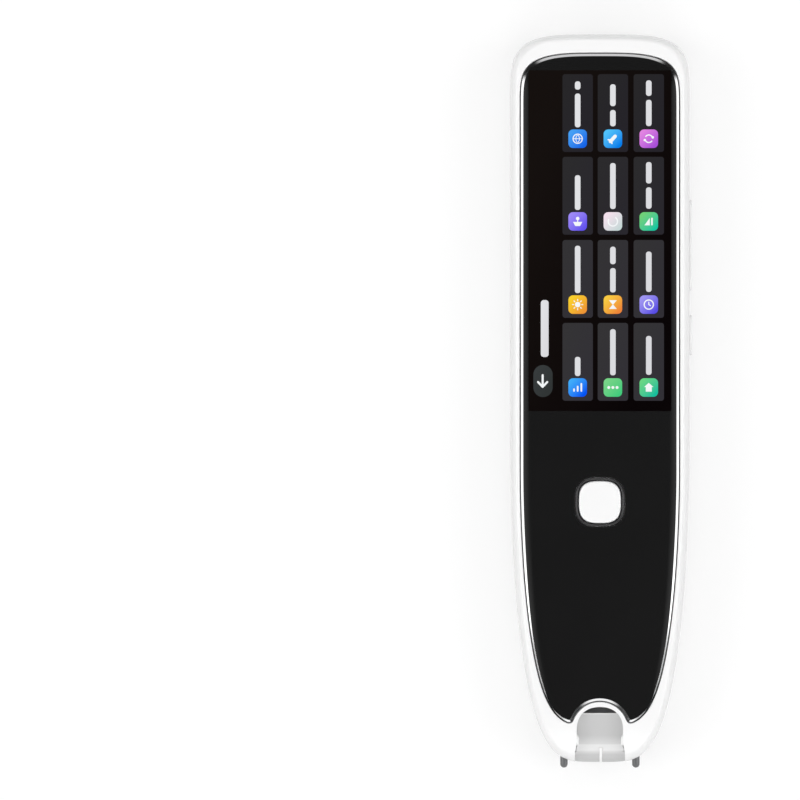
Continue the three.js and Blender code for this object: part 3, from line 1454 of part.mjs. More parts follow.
function triggerSwitch() {
  const s = TRIGGER_SWITCH;
  const top = BOARD.underZ - SEAT;
  const outline = roundedRectangle(2 * s.halfWidth, top - s.bottomZ, s.corner, 0, (top + s.bottomZ) / 2);
  return alongY(outline, s.frontY, s.frontY + s.length);
}

function triggerSwitchPlunger() {
  const profile = [
    [0, -TRIGGER_PLUNGER.length],
    [TRIGGER_PLUNGER.radius * 3 / 4, -TRIGGER_PLUNGER.length],
    [TRIGGER_PLUNGER.radius, -TRIGGER_PLUNGER.length * 2 / 3],
    [TRIGGER_PLUNGER.radius, -SEAT],
    [0, -SEAT],
  ];
  return rodAlongY(profile, PIN.sides);
}

// Materials

function material(color, roughness, metalness = 0) {
  return new THREE.MeshStandardMaterial({ color, roughness, metalness });
}

const GLOSS_WHITE = material(0xf6f6f5, 0.22);
const PANEL_BLACK = material(0x101010, 0.05);
const SCREEN_DARK = material(0x16120f, 0.1);
const TRIM_GREY = material(0x4a4a4c, 0.35);
const WINDOW_GREY = material(0xc8c8ca, 0.3);
const MARK_WHITE = material(0xfafafa, 0.4);
const HOOD_BLACK = material(0x2c2c2e, 0.7);
const STEEL = material(0xb4b6ba, 0.3, 1);
const BOARD_GREEN = material(0x1f4d36, 0.5);
const CHIP_BLACK = material(0x1a1b1d, 0.6);
const FLEX_AMBER = material(0x8a5a1c, 0.45);
const CELL_SILVER = material(0xa9adb2, 0.4, 0.6);
const FOAM_BLACK = material(0x1d1d1e, 0.9);
const NYLON_CREAM = material(0xe6e1d2, 0.5);
const LEAD_RED = material(0xb3201c, 0.5);
const LEAD_BLACK = material(0x161616, 0.5);
const LAMP_YELLOW = material(0xf2e9b6, 0.3);

// Assembly

const pen = new THREE.Group();
const frontGroup = new THREE.Group();
const boardGroup = new THREE.Group();
const rearGroup = new THREE.Group();
const noseGroup = new THREE.Group();
const triggerGroup = new THREE.Group();
pen.add(frontGroup, boardGroup, rearGroup, noseGroup);
noseGroup.add(triggerGroup);

function place(group, name, geometry, finish, x = 0, y = 0, z = 0) {
  const mesh = new THREE.Mesh(weldedTriangles(geometry), finish);
  mesh.name = name;
  mesh.position.set(x, y, z);
  group.add(mesh);
  return mesh;
}

place(frontGroup, 'front_housing', frontHousing(), GLOSS_WHITE);
place(frontGroup, 'cover_glass', coverGlass(), PANEL_BLACK);
place(frontGroup, 'glass_tape', glassTape(), FOAM_BLACK);
place(frontGroup, 'display_panel', displayPanel(), SCREEN_DARK);
place(frontGroup, 'backlight_tray', backlightTray(), STEEL);
place(frontGroup, 'display_flex', displayFlex(), FLEX_AMBER);
place(frontGroup, 'home_button', homeButton(), GLOSS_WHITE);
place(frontGroup, 'home_button_ring', homeButtonRing(), TRIM_GREY);
const rockerNubs = [-ROCKER_PRESS_OFFSET, ROCKER_PRESS_OFFSET];
place(frontGroup, 'volume_rocker', sideKey(VOLUME_KEY, rockerNubs), GLOSS_WHITE);
place(frontGroup, 'power_button', sideKey(POWER_KEY, [0]), GLOSS_WHITE);

const onBoardZ = BOARD_TOP_Z + SEAT;
place(boardGroup, 'main_board', mainBoard(), BOARD_GREEN);
place(boardGroup, 'processor_shield', processorShield(), STEEL, SHIELD.x, SHIELD.y, onBoardZ);
place(boardGroup, 'memory_chip', chip(MEMORY), CHIP_BLACK, MEMORY.x, MEMORY.y, onBoardZ);
place(boardGroup, 'power_chip', chip(POWER_CHIP), CHIP_BLACK, POWER_CHIP.x, POWER_CHIP.y, onBoardZ);
const displayPlugY = DISPLAY_FLEX.dropY - DISPLAY_FLEX.bend - DISPLAY_FLEX.run + DISPLAY_PLUG.length / 2;
place(boardGroup, 'display_connector', chip(DISPLAY_PLUG), CHIP_BLACK, 0, displayPlugY, onBoardZ);
place(boardGroup, 'home_switch', chip(HOME_SWITCH), STEEL, 0, HOME.y, onBoardZ);
const homePlunger = prism(
  circle(HOME_SWITCH.plungerRadius, PIN.sides), 0, HOME_SWITCH.plungerHeight - SEAT,
);
place(boardGroup, 'home_switch_plunger', homePlunger, CHIP_BLACK, 0, HOME.y, HOME_SWITCH_TOP_Z + SEAT);
place(boardGroup, 'side_key_board', sideKeyBoard(), BOARD_GREEN);
const volumeUpY = VOLUME_KEY.y + ROCKER_PRESS_OFFSET;
const volumeDownY = VOLUME_KEY.y - ROCKER_PRESS_OFFSET;
place(boardGroup, 'volume_switch_up', sideSwitch(volumeUpY), STEEL);
place(boardGroup, 'volume_switch_down', sideSwitch(volumeDownY), STEEL);
place(boardGroup, 'power_switch', sideSwitch(POWER_KEY.y), STEEL);
place(boardGroup, 'usb_socket', usbSocket(), STEEL);
const microphoneY = BOARD_TOP_Y - MICROPHONE.length / 2;
const microphoneLowZ = BOARD.underZ - SEAT - MICROPHONE.height;
place(boardGroup, 'microphone', chip(MICROPHONE), STEEL, MICROPHONE_X, microphoneY, microphoneLowZ);
BOARD_SCREWS.forEach(([x, y], number) => {
  place(boardGroup, `board_screw_${number + 1}`, boardScrew(), STEEL, x, y, BOARD.underZ - SEAT);
});

place(rearGroup, 'rear_cover', rearCover(), GLOSS_WHITE);
place(rearGroup, 'battery_tape', batteryTape(), FOAM_BLACK, 0, BATTERY_Y, BODY.wall + SEAT);
const cell = chip({ ...BATTERY, width: BATTERY_WIDTH });
place(rearGroup, 'battery', cell, CELL_SILVER, 0, BATTERY_Y, BATTERY_LOW_Z);
const tab = prism(
  roundedRectangle(BATTERY_TAB.width, BATTERY_TAB.length, BATTERY_TAB.corner), 0, BATTERY_TAB.thickness,
);
place(rearGroup, 'battery_tab', tab, BOARD_GREEN, 0, TAB_Y, TAB_LOW_Z);
place(boardGroup, 'battery_plug', chip(BATTERY_PLUG), NYLON_CREAM, BATTERY_PLUG.x, PLUG_Y, PLUG_LOW_Z);
place(rearGroup, 'battery_lead_red', batteryLead(1), LEAD_RED);
place(rearGroup, 'battery_lead_black', batteryLead(-1), LEAD_BLACK);
place(rearGroup, 'speaker_mesh', speakerMesh(), FOAM_BLACK, 0, SPEAKER.y, BODY.wall + SEAT);
place(rearGroup, 'speaker', speaker(), CHIP_BLACK, 0, SPEAKER.y, SPEAKER_LOW_Z);
const antennaY = SPEAKER.y - ANTENNA.reach / 2;
place(rearGroup, 'antenna', antenna(), FLEX_AMBER, 0, antennaY, SPEAKER_LOW_Z + SPEAKER.height + SEAT);

place(noseGroup, 'scan_window', scanWindow(), WINDOW_GREY);
place(noseGroup, 'aim_mark', aimMark(), MARK_WHITE);
place(noseGroup, 'scan_chamber', scanChamber(), HOOD_BLACK);
place(noseGroup, 'camera_module', cameraModule(), CHIP_BLACK);
place(noseGroup, 'camera_lens', cameraLens(), HOOD_BLACK);
place(noseGroup, 'camera_flex', cameraFlex(), FLEX_AMBER);
const cameraPlugY = CAMERA.rearY - CAMERA_FLEX.startIn + CAMERA_FLEX.run + CAMERA_FLEX.drop
  + CAMERA_FLEX.plugRun - CAMERA_PLUG.length / 2;
place(boardGroup, 'camera_connector', chip(CAMERA_PLUG), CHIP_BLACK, 0, cameraPlugY, onBoardZ);
const lightOutline = roundedRectangle(2 * LIGHT_BOARD.halfWidth, LIGHT_BOARD.length, LIGHT_BOARD.corner);
const lightBoard = prism(lightOutline, 0, LIGHT_BOARD.thickness);
const lightBoardY = LIGHT_BOARD.frontY + LIGHT_BOARD.length / 2;
const lightBoardZ = CHAMBER.topZ + SEAT;
place(noseGroup, 'light_board', lightBoard, HOOD_BLACK, 0, lightBoardY, lightBoardZ);
const ledZ = lightBoardZ + LIGHT_BOARD.thickness + SEAT;
place(noseGroup, 'led_left', led(), LAMP_YELLOW, -LED.x, LIGHT_BOARD.frontY + LED.length, ledZ);
place(noseGroup, 'led_right', led(), LAMP_YELLOW, LED.x, LIGHT_BOARD.frontY + LED.length, ledZ);

const springY = (STOP.y + YOKE.rearY) / 2;
place(triggerGroup, 'trigger_yoke', triggerYoke(), NYLON_CREAM);
place(triggerGroup, 'trigger_pin_left', triggerPin(), STEEL, -PIN.x, 0, SPLIT_Z);
place(triggerGroup, 'trigger_pin_right', triggerPin(), STEEL, PIN.x, 0, SPLIT_Z);
place(noseGroup, 'trigger_spring_left', triggerSpring(), STEEL, -PIN.x, springY, SPLIT_Z);
place(noseGroup, 'trigger_spring_right', triggerSpring(), STEEL, PIN.x, springY, SPLIT_Z);
place(boardGroup, 'trigger_switch', triggerSwitch(), CHIP_BLACK);
place(boardGroup, 'trigger_switch_plunger', triggerSwitchPlunger(), NYLON_CREAM, 0, TRIGGER_SWITCH.frontY,
  TRIGGER_PLUNGER.z);

export default pen;
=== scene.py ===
# Looks of the translation scanner pen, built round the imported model.
# Sizes are in millimetres, as in the part's source, and turn into metres where a mesh is made.
from math import acos, asin, atan2, cos, hypot, pi, radians, sin

import bmesh
import bpy
from mathutils import Matrix, Vector


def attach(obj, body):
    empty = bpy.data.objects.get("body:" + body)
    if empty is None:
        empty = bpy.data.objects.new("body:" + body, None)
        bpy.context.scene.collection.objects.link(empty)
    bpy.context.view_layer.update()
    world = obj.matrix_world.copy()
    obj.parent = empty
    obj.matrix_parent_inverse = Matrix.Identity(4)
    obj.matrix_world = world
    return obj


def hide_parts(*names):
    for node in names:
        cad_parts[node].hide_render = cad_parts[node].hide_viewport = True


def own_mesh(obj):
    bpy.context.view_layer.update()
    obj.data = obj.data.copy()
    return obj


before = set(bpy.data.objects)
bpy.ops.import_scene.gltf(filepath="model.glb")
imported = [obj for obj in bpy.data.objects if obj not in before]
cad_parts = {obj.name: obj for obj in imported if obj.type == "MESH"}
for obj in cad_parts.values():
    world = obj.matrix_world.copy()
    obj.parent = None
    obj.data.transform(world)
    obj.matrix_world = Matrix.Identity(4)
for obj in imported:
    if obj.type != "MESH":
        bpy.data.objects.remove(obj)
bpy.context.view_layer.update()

MM = 0.001
HALF_PI = pi / 2
FULL_TURN = 2 * pi

# Clearance between pieces that seat, how far cutters run over, and one that passes the whole pen
SEAT, OVERRUN, BEYOND = 0.05, 1.0, 120.0

# Body, as in the part's source
HALF_WIDTH, THICKNESS, WALL = 18.5, 12.6, 1.4
TOP_Y, TOP_TAPER_Y, TOP_POWERS, TOP_STEPS = 75.0, 61.5, (3.8, 4.2), 32
TIP_Y, TIP_TAPER_Y, TIP_POWERS, TIP_STEPS = -75.0, -6.5, (2.1, 3.9), 56
BACK_ROUND_IN, BACK_ROUND_UP = 3.2, 4.0
FRONT_ROUND_IN, FRONT_ROUND_DOWN = 1.6, 4.2
INNER_STEPS = 5
NOSE_BACK_START, NOSE_BACK_RISE = -48.0, 2.6
NOSE_FRONT_START, NOSE_FRONT_DROP = -66.0, 3.0
SPLIT_Z, SEAM = 6.1, 0.06
GROOVE_HALF, GROOVE_DEPTH, GROOVE_OUT = 0.16, 0.112, 0.02

# Pocket of the glass, and the curve that the glass shares with it
POCKET_HALF = 16.5
# Steps of the pocket's rim: outward, and up from the shell's face
POCKET_EDGE = ((0.0, -0.12), (0.03, -0.05), (0.12, 0.01))
GLASS_TOP_Y, GLASS_TOP_TAPER_Y, GLASS_TOP_POWERS, GLASS_TOP_STEPS = 71.16, 59.4, (4.4, 3.4), 32
GLASS_TIP_TAPER_Y, GLASS_TIP_REACH, GLASS_TIP_POWERS, GLASS_TIP_STEPS = -15.0, 52.4, (1.8, 4.3), 64
GLASS_UNDER_Z, GLASS_TOP_Z, GLASS_GAP = 11.75, 12.85, 0.15
LEDGE_Z, CEILING_Z = 11.45, 10.25
LOBE_RADIUS, LOBE_LEAST, LOBE_RISE, LOBE_TURN, LOBE_STEPS, RIM_STEPS = 1.0, 0.15, 2.39, 0.42, 16, 32
DISPLAY_HALF, DISPLAY_LOW, DISPLAY_HIGH, DISPLAY_CORNER = 15.3, -5.4, 68.2, 4.0
DISPLAY_ROOM, BAY_FLOOR_Z = 0.2, 9.4

# Offsets of the glass edge from its pocket along the sides, beside the tip and just before its two lobes:
# foot, wall, the two sides of the polished band, which narrows, and the crown
GLASS_FOOT, GLASS_WALL = (-GLASS_GAP, -0.03, -0.03), (-GLASS_GAP, -0.2, -0.2)
GLASS_BAND_LOW, GLASS_BAND_HIGH = (-0.27, -0.29, -0.33), (-0.73, -0.55, -0.38)
GLASS_CROWN = (-2.3, -2.3, -2.3)
# Stretches, along the pen and from its middle, over which the second and third offsets take over
GLASS_NARROW, GLASS_FADE = ((-29.0, -52.0), (6.0, 8.0)), ((-58.5, -62.0), (8.0, 9.5))
GLASS_FOOT_HIGH, GLASS_FOOT_STEP, GLASS_BAND_RISE, GLASS_CROWN_RISE = 0.5, 0.02, 0.16, 0.09
# Rings between wall and band: share of the way, and how far below the band
GLASS_SHOULDER = ((0.0, 0.12), (0.17, 0.06), (0.58, 0.02))
GLASS_BAND_SHARES = (0.0, 0.06, 0.5, 0.94, 1.0)
GLASS_CROWN_SHARES, GLASS_CROWN_POWER = (0.04, 0.12, 0.25, 0.4, 0.6, 0.8, 1.0), 2.4

# Scan window, its arch and the mouth of the arch at the tip
ARCH_HALF, ARCH_Y, ARCH_RIM, ARCH_POWER, ARCH_STEPS = 4.76, -68.2, 1.04, 2.28, 48
ARCH_LEAN, ARCH_LEAN_START_Y, ARCH_LEAN_REACH, ARCH_LEAN_STEPS = 0.45, -68.5, 1.6, 24
ARCH_LEAN_TOP, ARCH_LEAN_FOOT = 0.03, 0.5
MOUTH_START_Y, MOUTH_FLARE_Y, MOUTH_LAP = -71.2, -72.5, 0.02
MOUTH_START, MOUTH_FLARE, MOUTH_HALF = 4.78, 5.11, 5.17
WINDOW_TOP_Y, WINDOW_TOP_Z, WINDOW_FRONT_Z, WINDOW_FOOT_Z = -64.7, 11.45, 7.0, 4.3
WINDOW_GAP, WINDOW_INSET, WINDOW_THICK, WINDOW_STEPS = 0.02, 0.12, 1.0, 10
WINDOW_BENDS = ((-69.8, 9.99), (-72.35, 9.5), (-72.95, 9.05), (-74.24, 8.03))
WINDOW_INNER_Z, WINDOW_INNER_BENDS = 6.5, ((-72.45, 8.05), (-71.35, 8.5))
WINDOW_SOFT, WINDOW_EDGE, WINDOW_EDGE_SOFT, WINDOW_EDGE_STEPS = 0.55, 0.45, 0.16, 5
LIP_START_Y, LIP_BAND_HALF = -72.75, 4.71
TIER_DROP, TIER_THICK, TIER_GAP = 0.3, 0.6, 0.02
AIM_X, AIM_WIDTH, AIM_START_Y, AIM_DEPTH, AIM_GAP, AIM_FOOT_Z = 0.18, 0.56, -71.85, 0.35, 0.06, 6.4

# Home button and its trim ring
HOME_Y, HOME_HALF, HOME_POWER, HOME_GAP, HOME_RING = -21.3, 4.3, 3.0, 0.3, 0.4
HOME_HOLE_GAP, HOME_HOLE_EDGE, HOME_STEPS = 0.12, ((0.0, -0.06), (0.08, 0.01)), 8
HOME_FOOT_HEIGHT, HOME_RING_ROUND = 0.8, 0.16
HOME_CROWN, HOME_CAP_LOW, HOME_EDGE_IN, HOME_EDGE_DOWN, HOME_EDGE_LESS = 0.12, 9.9, 0.42, 0.25, 0.03
# Rings of the button's crown: inward from its side, and below its top
HOME_CROWN_RINGS = ((1.2, 0.012), (2.4, 0.002), (3.4, 0.0))
HOME_FLANGE_OUT, HOME_FLANGE_HEIGHTS = 0.75, (9.64, 10.19)
HOME_STEM_RADIUS, HOME_STEM_SIDES, HOME_STEM_HEIGHTS = 1.5, 40, (9.1, 10.0)

# Side keys
KEY_Z, KEY_HEIGHT, KEY_PROUD, KEY_GAP, KEY_ROUND, KEY_STEPS = 8.3, 2.4, 0.47, 0.15, 0.35, 6
KEY_FLANGE_X, KEY_FLANGE_THICK, KEY_FLANGE_OUT, KEY_BAR_X = 16.7, 0.5, 0.7, 16.45
KEY_NUB_X, KEY_NUB_END_X, KEY_NUB_HALF = 15.7, 16.5, 0.6
VOLUME_Y, VOLUME_LENGTH, VOLUME_PRESS = 31.6, 18.6, 6.0
POWER_Y, POWER_LENGTH = 13.1, 8.3

# Trigger pins, their guides and springs
PIN_X, PIN_RADIUS, PIN_END_Y, PIN_GAP, PIN_POINT, PIN_STEPS = 7.41, 0.775, -76.07, 0.12, 0.02, 12
COLLAR_Y, COLLAR_RADIUS, COLLAR_LENGTH, PIN_REAR_Y = -70.15, 1.15, 0.8, -56.0
GUIDE_RADIUS, GUIDE_END_Y, GUIDE_STEPS = 1.55, -70.2, 8
SPRING_LOW_Y, SPRING_HIGH_Y, SPRING_RADIUS, SPRING_WIRE = -54.9, -48.9, 0.95, 0.17
SPRING_TURNS, SPRING_TURN_STEPS, SPRING_SIDES = 6, 28, 10

# Socket and holes
USB_HALF, USB_HALF_HEIGHT, USB_Z, USB_MOUTH_Y, USB_LENGTH, USB_GAP = 4.47, 1.58, 4.97, 74.3, 7.4, 0.2
MIC_X, MIC_Z, MIC_RADIUS, MIC_DEPTH_Y, MIC_SIDES = 10.0, 6.05, 0.5, 66.0, 24
GRILLE_COLUMNS, GRILLE_ROWS, GRILLE_PITCH, GRILLE_Y = 6, 3, 2.4, 47.0
GRILLE_RADIUS, GRILLE_FLARE, GRILLE_FLARE_DEPTH, GRILLE_SIDES = 0.65, 0.15, 0.18, 28


# Meshes

def new_object(name, points, faces):
    """A closed mesh whose faces look outward, linked to the scene."""
    mesh = bpy.data.meshes.new(name)
    mesh.from_pydata([(x * MM, y * MM, z * MM) for x, y, z in points], [], faces)
    work = bmesh.new()
    work.from_mesh(mesh)
    bmesh.ops.recalc_face_normals(work, faces=work.faces)
    work.to_mesh(mesh)
    work.free()
    obj = bpy.data.objects.new(name, mesh)
    bpy.context.scene.collection.objects.link(obj)
    return obj


def loft(name, rings, caps=None):
    """Skin through rings that have as many points each, closed at both ends."""
    size = len(rings[0])
    points = [p for ring in rings for p in ring]
    faces = []
    for level in range(len(rings) - 1):
        for k in range(size):
            a, b = level * size + k, level * size + (k + 1) % size
            faces.append((a, b, b + size, a + size))
    for base in (0, (len(rings) - 1) * size):
        faces.extend(tuple(base + i for i in cap) for cap in caps or [range(size)])
    return new_object(name, points, faces)


def xy(u, v, w):
    return (u, v, w)


def xz(u, v, w):
    return (u, w, v)


def yz(u, v, w):
    return (w, u, v)


def stack(name, levels, place=xy):
    """Outlines at rising places, joined into one closed form."""
    return loft(name, [[place(u, v, w) for u, v in outline] for outline, w in levels])


def prism(name, outline, low, high, place=xy):
    return stack(name, [(outline, low), (outline, high)], place)


def lathe(name, profile, x, z, sides=40):
    """Turned form along Y, from pairs of radius and place."""
    return stack(name, [(circle(radius, sides, x, z), y) for radius, y in profile], xz)


def block(name, low, high):
    (a, b, c), (d, e, f) = low, high
    return prism(name, [(a, b), (d, b), (d, e), (a, e)], c, f)


def slab(name, low, high):
    """Block between two heights that passes the whole pen on every side."""
    return block(name, (-BEYOND, -BEYOND, low), (BEYOND, BEYOND, high))


def settle(obj):
    """Turns the modifiers of an object into its mesh."""
    view = bpy.context.evaluated_depsgraph_get()
    mesh = bpy.data.meshes.new_from_object(obj.evaluated_get(view))
    obj.modifiers.clear()
    old = obj.data
    obj.data = mesh
    bpy.data.meshes.remove(old)


def combine(base, others, operation):
    for other in others:
        step = base.modifiers.new(operation, "BOOLEAN")
        step.operation = operation
        step.solver = "MANIFOLD"
        step.object = other
    settle(base)
    for other in others:
        bpy.data.objects.remove(other)
    return base


def cut(base, *cutters):
    return combine(base, cutters, "DIFFERENCE")


def join(base, *pieces):
    return combine(base, pieces, "UNION")


def keep(base, *limits):
    return combine(base, limits, "INTERSECT")


# Outlines

def quarter(steps):
    """Angles from zero to a right angle."""
    return [HALF_PI * step / steps for step in range(steps + 1)]


def along_arc(radius, x, y, start, end, steps):
    """Points of a circle from one angle to another."""
    angles = [start + (end - start) * step / steps for step in range(steps + 1)]
    return [(x + radius * cos(a), y + radius * sin(a)) for a in angles]


def circle(radius, sides, x=0.0, y=0.0):
    return along_arc(radius, x, y, 0.0, FULL_TURN, sides)[:-1]


def rounded(width, length, corner, x=0.0, y=0.0, steps=8):
    points = []
    for turn, (side_x, side_y) in enumerate(((1, 1), (-1, 1), (-1, -1), (1, -1))):
        points += along_arc(corner, x + side_x * (width / 2 - corner), y + side_y * (length / 2 - corner),
                            turn * HALF_PI, (turn + 1) * HALF_PI, steps)
    return points


def stadium(half_length, half_height, u=0.0, v=0.0, steps=20):
    right, left = (along_arc(half_height, u + side * (half_length - half_height), v,
                             -side * HALF_PI, pi - side * HALF_PI, steps) for side in (1, -1))
    return right + left


def squircle(half, y, steps=96):
    points = []
    for step in range(steps):
        a = FULL_TURN * (step + 0.5) / steps
        c, s = cos(a), sin(a)
        reach = half / (abs(c) ** HOME_POWER + abs(s) ** HOME_POWER) ** (1 / HOME_POWER)
        points.append((reach * c, y + reach * s))
    return points


def superellipse(powers, half, reach, angle, y=0.0):
    along, across = powers
    return half * max(0, cos(angle)) ** (2 / across), y + reach * sin(angle) ** (2 / along)


def spread(powers, reach, half, steps, fineness=40, turn_weight=2, least=1e-9):
    """Angles along a quarter of a superellipse, closer together where it turns."""
    angles = quarter(fineness * steps)
    places = [superellipse(powers, half, reach, a) for a in angles]
    scale = hypot(half, reach)
    sums, heading, travelled, turned_by = [0.0], HALF_PI, 0.0, 0.0
    for (ax, ay), (bx, by) in zip(places, places[1:]):
        now = atan2(by - ay, bx - ax)
        travelled += hypot(bx - ax, by - ay) / scale
        turned_by += abs(now - heading) / pi
        heading = now
        sums.append(travelled + turn_weight * turned_by)
    picked, k = [], 0
    for step in range(steps + 1):
        while k < len(angles) - 1 and sums[k] < sums[-1] * step / steps * (1 - least):
            k += 1
        picked.append(angles[k])
    return picked


TOP_ANGLES = spread(TOP_POWERS, TOP_Y - TOP_TAPER_Y, HALF_WIDTH, TOP_STEPS)
TIP_ANGLES = spread(TIP_POWERS, TIP_TAPER_Y - TIP_Y, HALF_WIDTH, TIP_STEPS)
GLASS_TOP_ANGLES = spread(GLASS_TOP_POWERS, GLASS_TOP_Y - GLASS_TOP_TAPER_Y, POCKET_HALF, GLASS_TOP_STEPS)
GLASS_TIP_ANGLES = spread(GLASS_TIP_POWERS, GLASS_TIP_REACH, POCKET_HALF, GLASS_TIP_STEPS)


def smooth(value, start, end):
    share = min(1.0, max(0.0, (value - start) / (end - start)))
    return share * share * (3 - 2 * share)


def mirrored(line):
    return [(-x, y) for x, y in reversed(line)]


def both_sides(side):
    """The right half of an outline, with its ends put on the middle, and its mirror."""
    half = [(0.0, side[0][1]), *side[1:-1], (0.0, side[-1][1])]
    return half + mirrored(half[1:-1])


def body_side(inset):
    """Right half of the body's outline, from the top end to the tip."""
    half, top, tip = HALF_WIDTH - inset, TOP_Y - inset - TOP_TAPER_Y, TIP_Y + inset - TIP_TAPER_Y
    return [superellipse(TOP_POWERS, half, top, a, TOP_TAPER_Y) for a in reversed(TOP_ANGLES)] + [
        superellipse(TIP_POWERS, half, tip, a, TIP_TAPER_Y) for a in TIP_ANGLES]


def back_z(y):
    share = max(0.0, (NOSE_BACK_START - y) / (NOSE_BACK_START - TIP_Y))
    return NOSE_BACK_RISE * share ** 2


def front_z(y):
    share = max(0.0, (NOSE_FRONT_START - y) / (NOSE_FRONT_START - TIP_Y))
    return THICKNESS - NOSE_FRONT_DROP * share ** 2


def rounded_levels(height, base, back_in, back_up, front_in, front_down, steps):
    """Insets of a body's rings, each with its share of the height, round both edges."""
    back = [(base + back_in * (1 - sin(a)), back_up * (1 - cos(a)) / height)
            for a in quarter(steps)]
    return back + [(base + front_in * (1 - cos(a)), 1 - front_down * (1 - sin(a)) / height)
                   for a in quarter(steps)]


def body_loft(name, levels, floor_up=0.0, roof_down=0.0):
    """Rings of the body's outline, capped with strips from side to side that follow its bend."""
    rings = []
    for inset, share in levels:
        ring = []
        for x, y in both_sides(body_side(inset)):
            low, high = back_z(y) + floor_up, front_z(y) - roof_down
            ring.append((x, y, low + (high - low) * share))
        rings.append(ring)
    size = len(rings[0])
    strips = [tuple(dict.fromkeys((k, k + 1, size - k - 1, (size - k) % size))) for k in range(size // 2)]
    return loft(name, rings, strips)


def outer_body(name, inset=0.0, steps=14):
    return body_loft(name, rounded_levels(
        THICKNESS, inset, BACK_ROUND_IN, BACK_ROUND_UP, FRONT_ROUND_IN, FRONT_ROUND_DOWN, steps))


def inner_body():
    roof = THICKNESS - CEILING_Z
    levels = rounded_levels(THICKNESS - WALL - roof, WALL, BACK_ROUND_IN - WALL, BACK_ROUND_UP - WALL,
                            WALL / 2, WALL, INNER_STEPS)
    return body_loft("inner", levels, WALL, roof)


def glass_outline(grow):
    """Outline of the glass pocket, grown or drawn in: its tip curve ends in two lobes round the arch."""
    half = POCKET_HALF + grow
    lobe = max(LOBE_RADIUS + grow, LOBE_LEAST)
    rim = ARCH_HALF + ARCH_RIM - grow
    lobe_y = ARCH_Y + LOBE_RISE - LOBE_RADIUS - grow + lobe
    angle = asin((lobe_y - ARCH_Y) / (rim + lobe))
    lobe_x = (rim + lobe) * cos(angle)
    join_x, join_y = lobe_x + lobe * sin(LOBE_TURN), lobe_y - lobe * cos(LOBE_TURN)
    last = acos((join_x / half) ** (GLASS_TIP_POWERS[1] / 2))
    reach = (GLASS_TIP_TAPER_Y - join_y) / sin(last) ** (2 / GLASS_TIP_POWERS[0])
    top = GLASS_TOP_Y + grow - GLASS_TOP_TAPER_Y
    side = [superellipse(GLASS_TOP_POWERS, half, top, a, GLASS_TOP_TAPER_Y)
            for a in reversed(GLASS_TOP_ANGLES)]
    side += [superellipse(GLASS_TIP_POWERS, half, -reach, a / HALF_PI * last, GLASS_TIP_TAPER_Y)
             for a in GLASS_TIP_ANGLES]
    side += along_arc(lobe, lobe_x, lobe_y, LOBE_TURN - HALF_PI, angle - pi, LOBE_STEPS)[1:]
    side += along_arc(rim, 0.0, ARCH_Y, angle, HALF_PI, RIM_STEPS)[1:]
    return both_sides(side)


def arch_outline(grow, lean):
    """Outline of the opening: its straight sides lean in by up to a given amount, its top doesn't."""
    half = ARCH_HALF + grow
    side = []
    for step in range(ARCH_LEAN_STEPS):
        y = MOUTH_START_Y + (ARCH_LEAN_START_Y - MOUTH_START_Y) * step / ARCH_LEAN_STEPS
        side.append((half - lean * smooth(y, ARCH_LEAN_START_Y, ARCH_LEAN_START_Y - ARCH_LEAN_REACH), y))
    side += [superellipse((ARCH_POWER, ARCH_POWER), half, half, a, ARCH_Y) for a in quarter(ARCH_STEPS)]
    side[-1] = (0.0, side[-1][1])
    return side + mirrored(side[:-1])


def mouth_outline(grow):
    line = [(MOUTH_START + grow, MOUTH_START_Y + MOUTH_LAP), (MOUTH_FLARE + grow, MOUTH_FLARE_Y),
            (MOUTH_HALF + grow, TIP_Y), (MOUTH_HALF + grow, TIP_Y - OVERRUN)]
    return line + mirrored(line)


def soften(points, reach, steps=6):
    """A line with each inner corner rounded off over a reach on both sides."""
    line = [points[0]]
    for before, corner, after in zip(points, points[1:], points[2:]):
        c = Vector(corner)
        to_before, to_after = Vector(before) - c, Vector(after) - c
        a = c + to_before * min(0.5, reach / to_before.length)
        b = c + to_after * min(0.5, reach / to_after.length)
        for step in range(steps + 1):
            t = step / steps
            line.append(tuple(a * (1 - t) ** 2 + c * 2 * t * (1 - t) + b * t ** 2))
    line.append(points[-1])
    return line


def window_surface():
    """Side view of the window's face, from its far end down to its foot, as pairs of Y and Z."""
    front = TIP_Y + WINDOW_INSET
    return soften([(WINDOW_TOP_Y, WINDOW_TOP_Z), *WINDOW_BENDS, (front, WINDOW_FRONT_Z),
                   (front, WINDOW_FOOT_Z + WINDOW_GAP)], WINDOW_SOFT)


# Cutters and blanks that pieces share

def rimmed(name, outline_of, low, face, edge):
    """Cutter with an even wall and a softened edge about a face."""
    levels = [(outline_of(0.0), low)] + [(outline_of(out), face + up) for out, up in edge]
    return stack(name, levels + [(levels[-1][0], face + OVERRUN)])


def arch_opening(name, grow, low, high):
    """Solid of the opening, whose walls slope outward just under the shell's face."""
    inner, outer = arch_outline(grow, ARCH_LEAN), arch_outline(grow, 0)
    return loft(name, [
        [(x, y, low) for x, y in inner], [(x, y, front_z(y) - ARCH_LEAN_FOOT) for x, y in inner],
        [(x, y, front_z(y) - ARCH_LEAN_TOP) for x, y in outer], [(x, y, high) for x, y in outer]])


def window_cutter(low):
    opening = arch_opening("window_cutter", 0, low, THICKNESS + OVERRUN)
    return join(opening, prism("mouth", mouth_outline(0), low, THICKNESS + OVERRUN))


def pin_bore(x):
    radius = PIN_RADIUS + PIN_GAP
    return lathe("pin_bore", [(radius, TIP_Y - OVERRUN), (radius, GUIDE_END_Y + OVERRUN)], x, SPLIT_Z)


